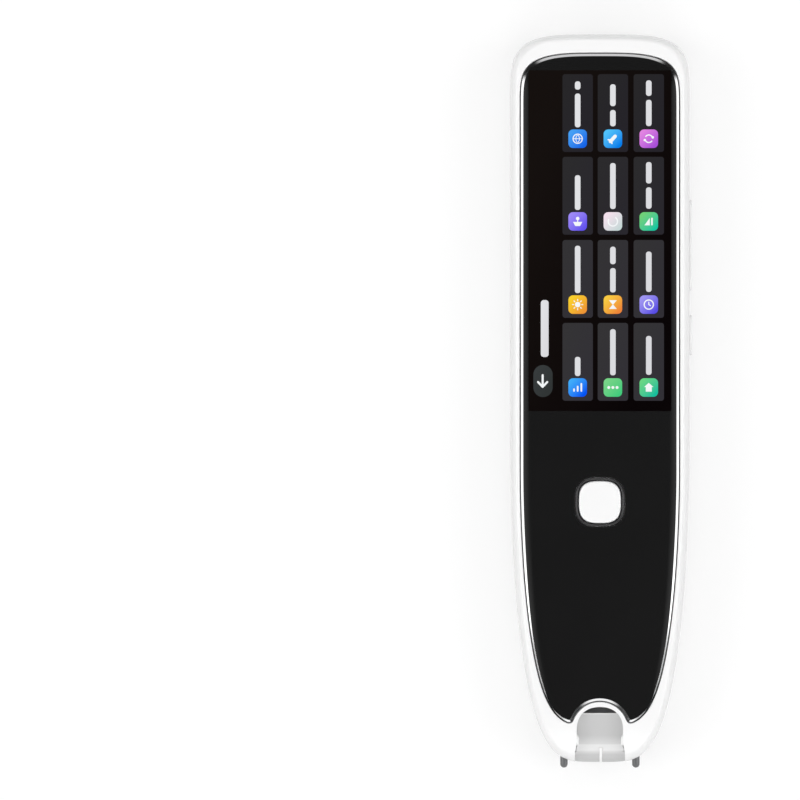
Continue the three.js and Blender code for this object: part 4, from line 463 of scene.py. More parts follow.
def pin_guides(low, high):
    """The parts of the two guides between two heights, inside the body."""
    guides = []
    for side in (-1, 1):
        guide = lathe("guide", [(GUIDE_RADIUS, TIP_Y), (GUIDE_RADIUS, GUIDE_END_Y)], side * PIN_X, SPLIT_Z)
        guides.append(keep(guide, outer_body("limit", SEAT, GUIDE_STEPS), slab("half", low, high)))
    return guides


def usb_cutter():
    outline = stadium(USB_HALF + USB_GAP, USB_HALF_HEIGHT + USB_GAP, 0, USB_Z)
    return prism("usb_cutter", outline, USB_MOUTH_Y - USB_LENGTH - USB_GAP, TOP_Y + OVERRUN, xz)


def mic_cutter():
    profile = [(MIC_RADIUS, MIC_DEPTH_Y), (MIC_RADIUS, TOP_Y + OVERRUN)]
    return lathe("mic_cutter", profile, MIC_X, MIC_Z, MIC_SIDES)


def seam_groove():
    """Ring that cuts a shallow V along the joint between the shells."""
    middle = SPLIT_Z - SEAM / 2
    ring = prism("groove", both_sides(body_side(-OVERRUN)), middle - GROOVE_HALF, middle + GROOVE_HALF)
    wide, deep = both_sides(body_side(-GROOVE_OUT)), both_sides(body_side(GROOVE_DEPTH))
    return cut(ring, stack("core", [
        (wide, middle - GROOVE_HALF - OVERRUN), (wide, middle - GROOVE_HALF), (deep, middle),
        (wide, middle + GROOVE_HALF), (wide, middle + GROOVE_HALF + OVERRUN)]))


def shared_cutters():
    return usb_cutter(), mic_cutter(), seam_groove(), pin_bore(-PIN_X), pin_bore(PIN_X)


def key_hole(y, length):
    outline = stadium(length / 2 + KEY_GAP, KEY_HEIGHT / 2 + KEY_GAP, y, KEY_Z)
    return prism("key_hole", outline, HALF_WIDTH - WALL - OVERRUN, HALF_WIDTH + OVERRUN, yz)


# Pieces

def half_shell(name, low, high, away_low, away_high):
    """Hollow half of the body with its parts of the guides, between two heights; the rest is cut away."""
    shell = outer_body(name)
    cut(shell, slab("away", away_low, away_high), inner_body())
    return join(shell, *pin_guides(low, high))


def front_shell():
    shell = half_shell("front_shell", SPLIT_Z, BEYOND, -BEYOND, SPLIT_Z)
    bay = rounded(2 * (DISPLAY_HALF + DISPLAY_ROOM), DISPLAY_HIGH - DISPLAY_LOW + 2 * DISPLAY_ROOM,
                  DISPLAY_CORNER, 0, (DISPLAY_HIGH + DISPLAY_LOW) / 2)
    home_hole = squircle(HOME_HALF + HOME_GAP / 2, HOME_Y)
    return cut(shell, rimmed("pocket", glass_outline, LEDGE_Z, THICKNESS, POCKET_EDGE),
               prism("bay", bay, BAY_FLOOR_Z, THICKNESS + OVERRUN),
               prism("home_hole", home_hole, CEILING_Z - OVERRUN, THICKNESS),
               window_cutter(SPLIT_Z - OVERRUN), *shared_cutters(),
               key_hole(VOLUME_Y, VOLUME_LENGTH), key_hole(POWER_Y, POWER_LENGTH))


def grille_hole(row, column):
    x = (column - (GRILLE_COLUMNS - 1) / 2) * GRILLE_PITCH
    y = GRILLE_Y + (row - (GRILLE_ROWS - 1) / 2) * GRILLE_PITCH
    wide = circle(GRILLE_RADIUS + GRILLE_FLARE, GRILLE_SIDES, x, y)
    narrow = circle(GRILLE_RADIUS, GRILLE_SIDES, x, y)
    return stack("hole", [(wide, -OVERRUN), (wide, 0.0), (narrow, GRILLE_FLARE_DEPTH),
                          (narrow, WALL + SEAT)])


def rear_shell():
    shell = half_shell("rear_shell", -BEYOND, SPLIT_Z - SEAM, SPLIT_Z - SEAM, BEYOND)
    holes = [grille_hole(row, column) for row in range(GRILLE_ROWS) for column in range(GRILLE_COLUMNS)]
    return cut(shell, window_cutter(WINDOW_FOOT_Z), *shared_cutters(), *holes)


def paint(obj, finish):
    """Gives an object one finish in place of what it has."""
    obj.data.materials.clear()
    obj.data.materials.append(FINISHES[finish])


def between(first, second, share):
    return tuple(a + (b - a) * share for a, b in zip(first, second))


def taken_over(x, y, along, across):
    return smooth(y, *along) * smooth(abs(x), *across)


def glass_ring(grows, z):
    """One ring of the glass edge, whose offset changes along its outline."""
    ring = []
    for side, tip, last in zip(*(glass_outline(grow) for grow in grows)):
        place = between(side, tip, taken_over(*side, *GLASS_NARROW))
        place = between(place, last, taken_over(*side, *GLASS_FADE))
        ring.append((*place, z))
    return ring


def cover_glass():
    """Panel with a steep edge, a polished band and a faint crown inside it."""
    band_high = GLASS_TOP_Z - GLASS_CROWN_RISE
    band_low = band_high - GLASS_BAND_RISE
    foot_high = GLASS_UNDER_Z + GLASS_FOOT_HIGH
    levels = [(GLASS_FOOT, GLASS_UNDER_Z), (GLASS_FOOT, foot_high),
              (GLASS_WALL, foot_high + GLASS_FOOT_STEP)]
    levels += [(between(GLASS_WALL, GLASS_BAND_LOW, share), band_low - down)
               for share, down in GLASS_SHOULDER]
    band_first = len(levels)
    levels += [(between(GLASS_BAND_LOW, GLASS_BAND_HIGH, share), band_low + GLASS_BAND_RISE * share)
               for share in GLASS_BAND_SHARES]
    band_last = len(levels) - 1
    levels += [(between(GLASS_BAND_HIGH, GLASS_CROWN, share),
                band_high + GLASS_CROWN_RISE * (1 - (1 - share) ** GLASS_CROWN_POWER))
               for share in GLASS_CROWN_SHARES]
    rings = [glass_ring(*level) for level in levels]
    glass = loft("cover_panel", rings)
    paint(glass, PANEL)
    glass.data.materials.append(FINISHES[POLISHED])
    size = len(rings[0])
    for index, face in enumerate(glass.data.polygons):
        face.material_index = 1 if band_first <= index // size < band_last else 0
    hole_half = HOME_HALF + HOME_GAP + HOME_RING + HOME_HOLE_GAP
    cut(glass, rimmed("hole", lambda out: squircle(hole_half + out, HOME_Y), GLASS_UNDER_Z - OVERRUN,
                      GLASS_TOP_Z, HOME_HOLE_EDGE))
    # The cut adds a slot for its own faces, which take the panel's finish
    for face in glass.data.polygons:
        face.material_index %= 2
    while len(glass.data.materials) > 2:
        glass.data.materials.pop(index=2)
    return glass


def home_cap():
    top, edge_z = GLASS_TOP_Z + HOME_CROWN, GLASS_TOP_Z - HOME_EDGE_DOWN
    levels = [(0, HOME_CAP_LOW)]
    levels += [(-HOME_EDGE_IN * (1 - cos(a)), edge_z + (top - HOME_EDGE_LESS - edge_z) * sin(a))
               for a in quarter(HOME_STEPS)]
    levels += [(-inward, top - down) for inward, down in HOME_CROWN_RINGS]
    cap = stack("home_cap", [(squircle(HOME_HALF + grow, HOME_Y), z) for grow, z in levels])
    flange = prism("flange", squircle(HOME_HALF + HOME_FLANGE_OUT, HOME_Y), *HOME_FLANGE_HEIGHTS)
    stem = prism("stem", circle(HOME_STEM_RADIUS, HOME_STEM_SIDES, 0, HOME_Y), *HOME_STEM_HEIGHTS)
    return join(cap, flange, stem)


def home_ring():
    """Trim ring with a rounded top, on a foot whose bore is closer to the button."""
    top, foot_z = GLASS_TOP_Z + SEAT / 2, LEDGE_Z + SEAT
    inner = HOME_HALF + HOME_GAP
    foot, middle, outer = inner - HOME_GAP / 2, inner + HOME_RING / 2, inner + HOME_RING
    slope = [(HOME_RING / 2 * sin(a), top - HOME_RING_ROUND * (1 - cos(a)))
             for a in reversed(quarter(HOME_STEPS))]
    wall = [(outer, foot_z)] + [(middle + out, z) for out, z in slope]
    bore = [(foot, foot_z - OVERRUN), (foot, foot_z + HOME_FOOT_HEIGHT), (inner, foot_z + HOME_FOOT_HEIGHT)]
    bore += [(middle - out, z) for out, z in slope] + [(middle, top + OVERRUN)]
    ring, hole = (stack(name, [(squircle(half, HOME_Y), z) for half, z in levels])
                  for name, levels in (("home_ring", wall), ("bore", bore)))
    return cut(ring, hole)


def side_key(name, y, length, nubs):
    """Round-edged bar with a flange behind the wall and nubs that reach the switches."""
    def outline(grow):
        return stadium(length / 2 + grow, KEY_HEIGHT / 2 + grow, y, KEY_Z)

    outer = HALF_WIDTH + KEY_PROUD
    key = stack(name, [(outline(0), KEY_BAR_X)] + [
        (outline(-KEY_ROUND * (1 - cos(a))), outer - KEY_ROUND * (1 - sin(a)))
        for a in quarter(KEY_STEPS)], yz)
    flange_in = KEY_FLANGE_X - KEY_FLANGE_THICK
    flange = prism("flange", outline(KEY_FLANGE_OUT), flange_in, KEY_FLANGE_X, yz)
    cut(flange, block("trim", (flange_in - OVERRUN, y - length, KEY_Z + KEY_HEIGHT / 2 + KEY_GAP),
                      (KEY_FLANGE_X + OVERRUN, y + length, BEYOND)))
    blocks = [block("nub", (KEY_NUB_X, y + at - KEY_NUB_HALF, KEY_Z - KEY_NUB_HALF),
                    (KEY_NUB_END_X, y + at + KEY_NUB_HALF, KEY_Z + KEY_NUB_HALF)) for at in nubs]
    return join(key, flange, *blocks)


def window_plate():
    """Bent plate that fills the arch, with a lip, a lower tier and a slot for the centre mark."""
    surface = window_surface()
    inner_y = TIP_Y + WINDOW_INSET + WINDOW_THICK
    top = soften([(WINDOW_TOP_Y, WINDOW_TOP_Z - WINDOW_EDGE), (WINDOW_TOP_Y, WINDOW_TOP_Z), surface[1]],
                 WINDOW_EDGE_SOFT, WINDOW_EDGE_STEPS)[:-1]
    inner = [(inner_y, WINDOW_FOOT_Z + WINDOW_GAP), (inner_y, WINDOW_INNER_Z), *WINDOW_INNER_BENDS,
             (WINDOW_TOP_Y, WINDOW_TOP_Z - WINDOW_THICK)]
    plate = prism("window_plate", top + surface[1:] + inner, -MOUTH_HALF, MOUTH_HALF, yz)
    plan = arch_opening("plan", -WINDOW_GAP, 0, THICKNESS + SEAT)
    lip = prism("lip", mouth_outline(-TIER_GAP), 0, THICKNESS)
    cut(lip, *(block("beside", (side * LIP_BAND_HALF, LIP_START_Y, -OVERRUN),
                     (side * HALF_WIDTH, MOUTH_START_Y + OVERRUN, BEYOND)) for side in (1, -1)))
    keep(plate, join(plan, lip), outer_body("limit", WINDOW_INSET, WINDOW_STEPS))
    join(plate, window_tier())
    half = AIM_WIDTH / 2 + AIM_GAP
    slot = block("slot", (AIM_X - half, TIP_Y - OVERRUN, AIM_FOOT_Z - AIM_GAP),
                 (AIM_X + half, AIM_START_Y + AIM_GAP, THICKNESS))
    return cut(plate, cut(slot, under_surface(AIM_DEPTH)))


def window_tier():
    """Lower step of the plate that fills the opening's flare beside its band of painted highlight."""
    line = [(y, z - TIER_DROP) for y, z in window_surface()
            if LIP_START_Y - TIER_DROP < y < MOUTH_START_Y + 2 * TIER_DROP]
    under = [(y, z - TIER_THICK) for y, z in reversed(line)]
    tier = prism("tier", line + under, -MOUTH_HALF, MOUTH_HALF, yz)
    return keep(tier, prism("flare", mouth_outline(-TIER_GAP), 0, THICKNESS))


def under_surface(depth):
    """Everything deeper than the window's surface by a depth."""
    line = [(y + depth, z - depth) for y, z in window_surface()]
    outline = line + [(line[-1][0], -OVERRUN), (line[0][0], -OVERRUN)]
    return prism("under", outline, -MOUTH_HALF, MOUTH_HALF, yz)


def centre_mark():
    line, depth = window_surface(), AIM_DEPTH - AIM_GAP
    under = [(y + depth, z - depth) for y, z in reversed(line)]
    strip = prism("centre_mark", line + under, AIM_X - AIM_WIDTH / 2, AIM_X + AIM_WIDTH / 2, yz)
    return keep(strip, block("reach", (-MOUTH_HALF, TIP_Y - OVERRUN, AIM_FOOT_Z),
                             (MOUTH_HALF, AIM_START_Y, THICKNESS)))


def trigger_pin(name, x):
    """Pin with a round end, and a collar that stops it at its guide."""
    collar_end = COLLAR_Y + COLLAR_LENGTH
    profile = [(PIN_POINT, PIN_END_Y)]
    profile += along_arc(PIN_RADIUS, 0.0, PIN_END_Y + PIN_RADIUS, -HALF_PI, 0.0, PIN_STEPS)[1:]
    profile += [(PIN_RADIUS, COLLAR_Y), (COLLAR_RADIUS, COLLAR_Y), (COLLAR_RADIUS, collar_end),
                (PIN_RADIUS, collar_end), (PIN_RADIUS, PIN_REAR_Y)]
    return lathe(name, profile, x, SPLIT_Z)


def coil_spring(name, x):
    low, high = SPRING_LOW_Y + SEAT + SPRING_WIRE, SPRING_HIGH_Y - SEAT - SPRING_WIRE
    steps = SPRING_TURNS * SPRING_TURN_STEPS
    rings = []
    for step in range(steps + 1):
        a, y = FULL_TURN * SPRING_TURNS * step / steps, low + (high - low) * step / steps
        wire = circle(SPRING_WIRE, SPRING_SIDES, SPRING_RADIUS, y)
        rings.append([(x + radius * cos(a), v, SPLIT_Z + radius * sin(a)) for radius, v in wire])
    return loft(name, rings)


# Screen content: plain panels, round-cornered tiles, simple signs and blank label bars

SCREEN_HALF, SCREEN_LOW, SCREEN_HIGH, SCREEN_CORNER = 14.69, -2.58, 67.5, 0.3
TILE_X, TILE_WIDTH, TILE_LENGTH, TILE_CORNER = (-4.57, 2.67, 10.05), 6.24, 16.0, 0.55
ICON_SIZE, ICON_CORNER, ICON_UP = 3.81, 0.95, 2.72
LABEL_WIDTH, LABEL_CORNER, LABEL_STEPS = 1.15, 0.5, 5
PILL_X, PILL_Y, PILL_HALVES, ARROW_X = -11.7, 3.6, (3.3, 1.98), -11.77
# Width, length, corner and place
TITLE = (1.6, 11.7, 0.6, -11.35, 14.4)
LIFT, SHEET = 0.004, 0.003


def flat_piece(name, outlines, level):
    """Thin closed sheets on the glass, one for each outline, as one object."""
    low = GLASS_TOP_Z + LIFT * level
    points, faces = [], []
    for outline in outlines:
        start, count = len(points), len(outline)
        points += [(x, y, z) for z in (low, low + SHEET) for x, y in outline]
        faces.append(tuple(range(start, start + count)))
        faces.append(tuple(range(start + count, start + 2 * count)))
        faces += [(start + k, start + (k + 1) % count, start + count + (k + 1) % count, start + count + k)
                  for k in range(count)]
    return new_object(name, points, faces)


def turned(outline, angle, x, y):
    c, s = cos(angle), sin(angle)
    return [(x + u * c - v * s, y + u * s + v * c) for u, v in outline]


def bar(ax, ay, bx, by, width, steps=6):
    """Round-ended stroke between two points."""
    length = hypot(bx - ax, by - ay) + width
    return turned(stadium(length / 2, width / 2, 0, 0, steps), atan2(by - ay, bx - ax),
                  (ax + bx) / 2, (ay + by) / 2)


def arc(x, y, radius, width, start, end, steps=28):
    """Part of a ring, or a whole one cut by a hair."""
    outer, inner = (along_arc(radius + out, x, y, start, end, steps) for out in (width / 2, -width / 2))
    return outer + inner[::-1]


def form(*points):
    return points


def ray(turn, start, end, width):
    """Stroke outward from the centre."""
    a = turn * pi
    return bar(start * cos(a), start * sin(a), end * cos(a), end * sin(a), width)


WHOLE = FULL_TURN - 0.02
# Signs drawn about their centres: how each stroke is drawn, and its numbers
SIGNS = {
    "globe": ((arc, 0, 0, 0.95, 0.2, 0, WHOLE), (arc, -0.62, 0, 1.0, 0.14, -0.85, 0.85, 14),
              (arc, 0.62, 0, 1.0, 0.14, pi - 0.85, pi + 0.85, 14), (bar, -0.9, 0, 0.9, 0, 0.14)),
    "pen": ((bar, -0.5, -0.55, 0.45, 0.5, 0.72), (bar, -0.95, -0.2, -0.6, -0.25, 0.3),
            (bar, -0.2, -0.95, -0.25, -0.7, 0.3)),
    "turn": ((arc, 0, 0, 0.78, 0.24, 0.5, 2.6), (arc, 0, 0, 0.78, 0.24, pi + 0.5, pi + 2.6),
             (circle, 0.26, 12, 0.82, 0.28), (circle, 0.26, 12, -0.82, -0.28)),
    "lamp": ((form, (-0.95, -0.1), (0.95, -0.1), (0.5, -0.95), (-0.5, -0.95)),
             (circle, 0.36, 18, 0, 0.6), (bar, 0, -0.3, 0, 0.4, 0.2)),
    "moon": ((arc, 0, 0, 0.95, 0.28, radians(150), radians(420)),),
    "flag": ((form, (-0.9, -0.8), (0.2, 0.7), (0.2, -0.8)), (bar, 0.65, -0.65, 0.65, 0.6, 0.34)),
    "sun": ((circle, 0.56, 24), *((ray, k / 4, 0.82, 1.06, 0.2) for k in range(8))),
    "glass": ((form, (-0.8, 0.9), (-0.06, 0), (0.06, 0), (0.8, 0.9)),
              (form, (-0.8, -0.9), (0.8, -0.9), (0.06, -0.02), (-0.06, -0.02))),
    "clock": ((arc, 0, 0, 0.95, 0.24, 0, WHOLE), (bar, 0, 0, 0, 0.5, 0.2), (bar, 0, 0, 0.36, -0.22, 0.2)),
    "bars": ((bar, -0.75, -0.7, -0.75, -0.35, 0.34), (bar, 0, -0.7, 0, 0.2, 0.34),
             (bar, 0.75, -0.7, 0.75, 0.75, 0.34)),
    "dots": ((circle, 0.3, 18, -0.85), (circle, 0.3, 18), (circle, 0.3, 18, 0.85)),
    "house": ((form, (-0.62, -0.85), (0.62, -0.85), (0.62, 0.1), (0.95, 0.1), (0, 0.95), (-0.95, 0.1),
               (-0.62, 0.1)),),
    "back": ((bar, 0, 1.2, 0, -1.1, 0.42), (bar, -0.95, -0.2, 0, -1.2, 0.42),
             (bar, 0.95, -0.2, 0, -1.2, 0.42)),
}

# Rows of tiles from the top: their place along the pen, their grey tone, and for each tile its sign, its
# icon's colours at the upper left and lower right, and where its label's bars start and end above the icon
MENU = (
    (58.7, 37, (("globe", (70, 160, 245), (20, 100, 232), (2.35, 9.3, 10.1, 11.8)),
                ("pen", (80, 195, 252), (0, 126, 235), (2.55, 5.9, 6.7, 11.2)),
                ("turn", (226, 132, 226), (168, 78, 216), (2.6, 8.0, 8.8, 12.0)))),
    (41.7, 41, (("lamp", (158, 138, 248), (98, 82, 236), (2.35, 9.5)),
                ("moon", (246, 226, 238), (200, 216, 216), (2.55, 12.0)),
                ("flag", (112, 208, 120), (18, 198, 160), (2.6, 7.0, 7.8, 12.2)))),
    (24.6, 49, (("sun", (250, 208, 44), (238, 148, 52), (2.35, 12.1)),
                ("glass", (250, 204, 66), (238, 132, 56), (2.5, 7.5, 8.3, 11.9)),
                ("clock", (160, 150, 242), (88, 76, 228), (2.6, 10.9)))),
    (7.55, 50, (("bars", (64, 172, 250), (0, 82, 242), (2.35, 6.3)),
                ("dots", (120, 212, 136), (66, 202, 124), (2.5, 12.0)),
                ("house", (104, 214, 132), (20, 190, 156), (2.6, 10.6)))),
)


def sign(name, x, y):
    return [[(x + u, y + v) for u, v in draw(*numbers)] for draw, *numbers in SIGNS[name]]


# Materials

def linear(*channels):
    """A colour of 0 to 255 a channel, as Blender's shaders take it."""
    out = []
    for channel in channels:
        c = channel / 255
        out.append(c / 12.92 if c <= 0.04045 else ((c + 0.055) / 1.055) ** 2.4)
    return (*out, 1.0)


def grey(share):
    return (share, share, share, 1.0)


class Nodes:
    """Short ways to add nodes to a tree. A source is a number, a colour or the socket of another node."""

    def __init__(self, tree):
        self.tree = tree

    def feed(self, node, sources):
        """Gives inputs, by their places or names, their sources. An underscore stands for a space."""
        for key, source in sources.items():
            socket = node.inputs[key.replace("_", " ") if isinstance(key, str) else key]
            if isinstance(source, bpy.types.NodeSocket):
                self.tree.links.new(source, socket)
            else:
                socket.default_value = source

    def node(self, kind, *sources, settings=(), **named):
        """A new node whose first inputs take the sources, and others theirs by name."""
        made = self.tree.nodes.new(f"ShaderNode{kind}")
        for key, value in dict(settings).items():
            setattr(made, key, value)
        self.feed(made, dict(enumerate(sources)))
        self.feed(made, named)
        return made

    def math(self, operation, *sources):
        """An operation on one source or two, or on more of them in turn."""
        result = self.node("Math", *sources[:2], settings={"operation": operation}).outputs[0]
        return self.math(operation, result, *sources[2:]) if sources[2:] else result

    def split(self, source):
        return self.node("SeparateXYZ", source).outputs

    def ranged(self, value, low, high, start=0.3, end=0.7):
        """A value's stretch from start to end, as one from low to high."""
        return self.node("MapRange", value, start, end, low, high).outputs["Result"]

    def step(self, value, start, end):
        """Zero before a stretch and one after it, with a soft rise between."""
        return self.node("MapRange", value, start, end, 0.0, 1.0,
                         settings={"interpolation_type": "SMOOTHSTEP"}).outputs["Result"]


# Every finish by its name; the frame has plain materials of its own under some of these names
FINISHES = {}


class Finish(Nodes):
    """A material whose colour, gloss and relief come from nodes in the object's own space."""

    def __init__(self, name, **sockets):
        self.material = FINISHES[name] = bpy.data.materials.new(f"{name}_finish")
        self.material.use_nodes = True
        super().__init__(self.material.node_tree)
        self.shader = self.tree.nodes["Principled BSDF"]
        self.put(**sockets)
        self.space = self.node("TexCoord").outputs["Object"]

    def put(self, **sources):
        self.feed(self.shader, sources)

    def noise(self, scale, detail=3.0, stretch=None):
        vector = self.space
        if stretch:
            vector = self.node("Mapping", vector, Scale=stretch).outputs["Vector"]
        return self.node("TexNoise", vector, Scale=scale, Detail=detail, Roughness=0.5).outputs["Fac"]

    def mixed(self, factor, first, second):
        made = self.node("Mix", factor, settings={"data_type": "RGBA"})
        self.feed(made, {6: first, 7: second})
        return made.outputs[2]

    def toned(self, factor, colour, contrast):
        """Base colour that wavers between two near tones."""
        dark, light = (tuple(min(1.0, c * share) for c in colour[:3]) + (1.0,)
                       for share in (1 - contrast, 1 + contrast))
        self.put(Base_Color=self.mixed(factor, dark, light))

    def ramp(self, value, stops):
        """Grey tones at places along a value from 0 to 1, blended between them."""
        made = self.node("ValToRGB", value)
        band = made.color_ramp
        for place, _ in stops[1:-1]:
            band.elements.new(place)
        for element, (place, tone) in zip(band.elements, stops):
            element.position = place
            element.color = linear(tone, tone, tone)
        return made.outputs["Color"]

    def relief(self, height, strength, distance):
        bump = self.node("Bump", Strength=strength, Distance=distance, Height=height)
        self.put(Normal=bump.outputs["Normal"])


def moulded(name, colour, contrast, rough, grain=900.0, relief=0.08, distance=4e-6, patch=60.0, **sockets):
    """Moulded or coated surface: two near tones in soft patches, uneven gloss, fine surface ripple."""
    finish = Finish(name, **sockets)
    finish.toned(finish.ranged(finish.noise(patch, 4.0), 0, 1), colour, contrast)
    finish.put(Roughness=finish.ranged(finish.noise(patch * 3, 5.0), *rough))
    finish.relief(finish.noise(grain, 2.0), relief, distance)


def brushed(name, colour, rough, stretch, metallic=1.0, contrast=0.06, grain=500.0, **sockets):
    """Metal with fine lines, drawn out along one direction."""
    finish = Finish(name, Metallic=metallic, **sockets)
    lines = finish.noise(grain, 4.0, stretch)
    finish.toned(finish.ranged(lines, 0, 1), colour, contrast)
    finish.put(Roughness=finish.ranged(lines, *rough))
    finish.relief(lines, strength=0.15, distance=6e-6)


# Grey tones of the scan window along the pen, from the tip, with painted shade and highlights
# Painted shade on the plate under the arch, a painted highlight band before the lip and one along the far
# edge
WINDOW_SHADE_AND_HIGHLIGHT_TONES = ((-75.0, 203), (-73.35, 206), (-72.4, 233), (-71.25, 233), (-71.1, 218), (-70.3, 209),
                (-69.3, 196), (-65.0, 196), (-64.85, 224), (-64.7, 224))


def window_plastic_with_painted_light(name, cloud=0.06):
    """Satin grey plastic with painted shade, a painted highlight band before its lip and one at its far
    end.
    """
    finish = Finish(name)
    along = finish.ranged(finish.split(finish.space)["Y"], 0, 1, TIP_Y * MM, WINDOW_TOP_Y * MM)
    stops = [((y - TIP_Y) / (WINDOW_TOP_Y - TIP_Y), tone) for y, tone in WINDOW_SHADE_AND_HIGHLIGHT_TONES]
    clouds = finish.ranged(finish.noise(scale=150.0, detail=4.0), 0.0, cloud)
    finish.put(Base_Color=finish.mixed(clouds, finish.ramp(along, stops), (0.4, 0.4, 0.41, 1.0)),
               Roughness=finish.ranged(finish.noise(scale=400.0, detail=4.0), low=0.3, high=0.38))
    finish.relief(finish.noise(scale=1500.0, detail=2.0), strength=0.08, distance=4e-6)


def lit(name, first, second, rough=0.06):
    """Lit screen surface: its own glow, in a slight slant from one tone to the other, under clear gloss."""
    finish = Finish(name, Base_Color=grey(0.0), Emission_Strength=1.0, Specular_IOR_Level=0.42)
    across = finish.split(finish.node("TexCoord").outputs["Generated"])
    slant = finish.math("SUBTRACT", across["X"], across["Y"])
    finish.put(Emission_Color=finish.mixed(finish.ranged(slant, 0, 1, -0.7, 0.7), first, second),
               Roughness=finish.ranged(finish.noise(scale=260.0), rough * 0.7, rough * 1.4))


def circuit(name):
    """Solder mask with straight tracks and scattered pads."""
    finish = Finish(name)
    tracks = finish.node("TexBrick", finish.space, settings={"offset": 0.37, "squash": 1.0}, Scale=300.0,
                         Color1=linear(24, 84, 56), Color2=linear(30, 96, 64), Mortar=linear(18, 62, 42),
                         Mortar_Size=0.04).outputs["Color"]
    pads = finish.node("TexVoronoi", finish.space, Scale=420.0).outputs["Distance"]
    near_pads = finish.ranged(pads, 1, 0, start=0.16, end=0.2)
    finish.put(Base_Color=finish.mixed(near_pads, tracks, linear(196, 190, 160)),
               Roughness=finish.ranged(finish.noise(scale=200.0), low=0.38, high=0.55))


def mesh_cloth(name):
    """Fine woven dust mesh."""
    finish = Finish(name)
    weave = finish.node("TexChecker", finish.space, Scale=6000.0).outputs["Fac"]
    finish.put(Base_Color=finish.mixed(weave, linear(16, 16, 17), linear(40, 40, 42)),
               Roughness=finish.ranged(finish.noise(scale=900.0), low=0.75, high=0.95))
    finish.relief(weave, strength=0.4, distance=2e-5)


# Moulded finishes: colour, contrast between the two tones, least and most roughness, then what differs
SHELL, PANEL, POLISHED, PIN = "shell_gloss_white", "panel_black", "panel_polished_edge", "pin_steel"
moulded(SHELL, linear(250, 250, 250), 0.006, (0.16, 0.22), Specular_IOR_Level=0.35)
moulded("button_gloss_white", linear(251, 251, 251), 0.004, (0.2, 0.26))
moulded(PANEL, (0.0100, 0.0100, 0.0101), 0.06, (0.03, 0.05), relief=0.02, Specular_IOR_Level=0.42)
moulded(POLISHED, (0.5, 0.5, 0.505), 0.03, (0.08, 0.12), relief=0.02, Metallic=1.0)
moulded("trim_gloss_black", linear(48, 48, 49), 0.03, (0.24, 0.3), relief=0.0)
moulded("mark_white", linear(254, 254, 254), 0.002, (0.4, 0.5))
moulded("hood_matt_black", linear(130, 130, 132), 0.1, (0.6, 0.75), grain=2500.0, relief=0.3)
moulded("chip_resin_black", linear(28, 29, 31), 0.08, (0.5, 0.62), grain=3200.0, relief=0.3)
moulded("foam_black", linear(30, 30, 31), 0.15, (0.85, 0.95), grain=1800.0, relief=0.6, distance=3e-5)
moulded("nylon_cream", linear(230, 225, 210), 0.02, (0.42, 0.52), grain=1200.0)
moulded("lead_red", linear(180, 34, 30), 0.05, (0.4, 0.5))
moulded("lead_black", linear(24, 24, 25), 0.08, (0.4, 0.5))
moulded("lamp_yellow", linear(242, 233, 184), 0.03, (0.2, 0.3))
moulded("flex_amber", linear(150, 96, 34), 0.1, (0.3, 0.42), grain=2400.0)
# Brushed finishes: colour, least and most roughness, how each axis is stretched, then what differs
brushed(PIN, linear(108, 109, 110), (0.28, 0.34), (6.0, 1.0, 6.0), metallic=0.2, Specular_IOR_Level=0.4)
brushed("sheet_steel", linear(186, 188, 191), (0.3, 0.42), (1.0, 9.0, 1.0))
brushed("cell_foil", linear(176, 179, 184), (0.34, 0.5), (3.0, 1.0, 3.0), metallic=0.7, contrast=0.1)
# Its grey changes along the pen to paint shade and highlights on the window
window_plastic_with_painted_light("window_satin_grey")
circuit("board_green")
mesh_cloth("speaker_weave")
# Lit finishes: tones at the upper left and lower right
lit("screen_dark", linear(20, 15, 13), linear(7, 3, 4))
for row, (_, tone, _) in enumerate(MENU):
    lit(f"tile_dark_{row + 1}", linear(tone + 2, tone + 1, tone + 3), linear(tone, tone - 2, tone + 4))
lit("pill_grey", linear(55, 59, 60), linear(48, 52, 52))
lit("sign_white", linear(250, 252, 252), linear(240, 244, 246))
lit("label_white", linear(226, 227, 230), linear(218, 218, 222))

# Carried-over nodes of each finish
CAD_FINISHES = {
    "foam_black": ("glass_tape", "battery_tape"),
    "speaker_weave": ("speaker_mesh",),
    PANEL: ("display_panel",),
    "sheet_steel": ("backlight_tray", "home_switch", "volume_switch_up", "volume_switch_down",
                    "power_switch", "processor_shield", "usb_socket", "microphone", "board_screw_1",
                    "board_screw_2", "board_screw_3", "board_screw_4"),
    "flex_amber": ("display_flex", "camera_flex", "antenna"),
    "chip_resin_black": ("display_connector", "memory_chip", "power_chip", "camera_connector",
                         "camera_module", "trigger_switch", "speaker", "home_switch_plunger"),
    "board_green": ("side_key_board", "main_board", "battery_tab"),
    "cell_foil": ("battery",),
    "nylon_cream": ("battery_plug", "trigger_switch_plunger", "trigger_yoke"),
    "lead_red": ("battery_lead_red",),
    "lead_black": ("battery_lead_black",),
    "hood_matt_black": ("scan_chamber", "camera_lens", "light_board"),
    "lamp_yellow": ("led_left", "led_right"),
}
for finish_name, node_names in CAD_FINISHES.items():
    for node_name in node_names:
        paint(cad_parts[node_name], finish_name)


# Pieces in their places

def dress(obj, body, finish, nodes, angle=34.0):
    """Gives a piece its material, its shading, its place in the frame and the nodes it stands for."""
    if finish:
        paint(obj, finish)
    obj.data.shade_smooth()
    obj.data.set_sharp_from_angle(angle=radians(angle))
    even = obj.modifiers.new("even", "WEIGHTED_NORMAL")
    even.keep_sharp = True
    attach(obj, body)
    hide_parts(*nodes)
    return obj


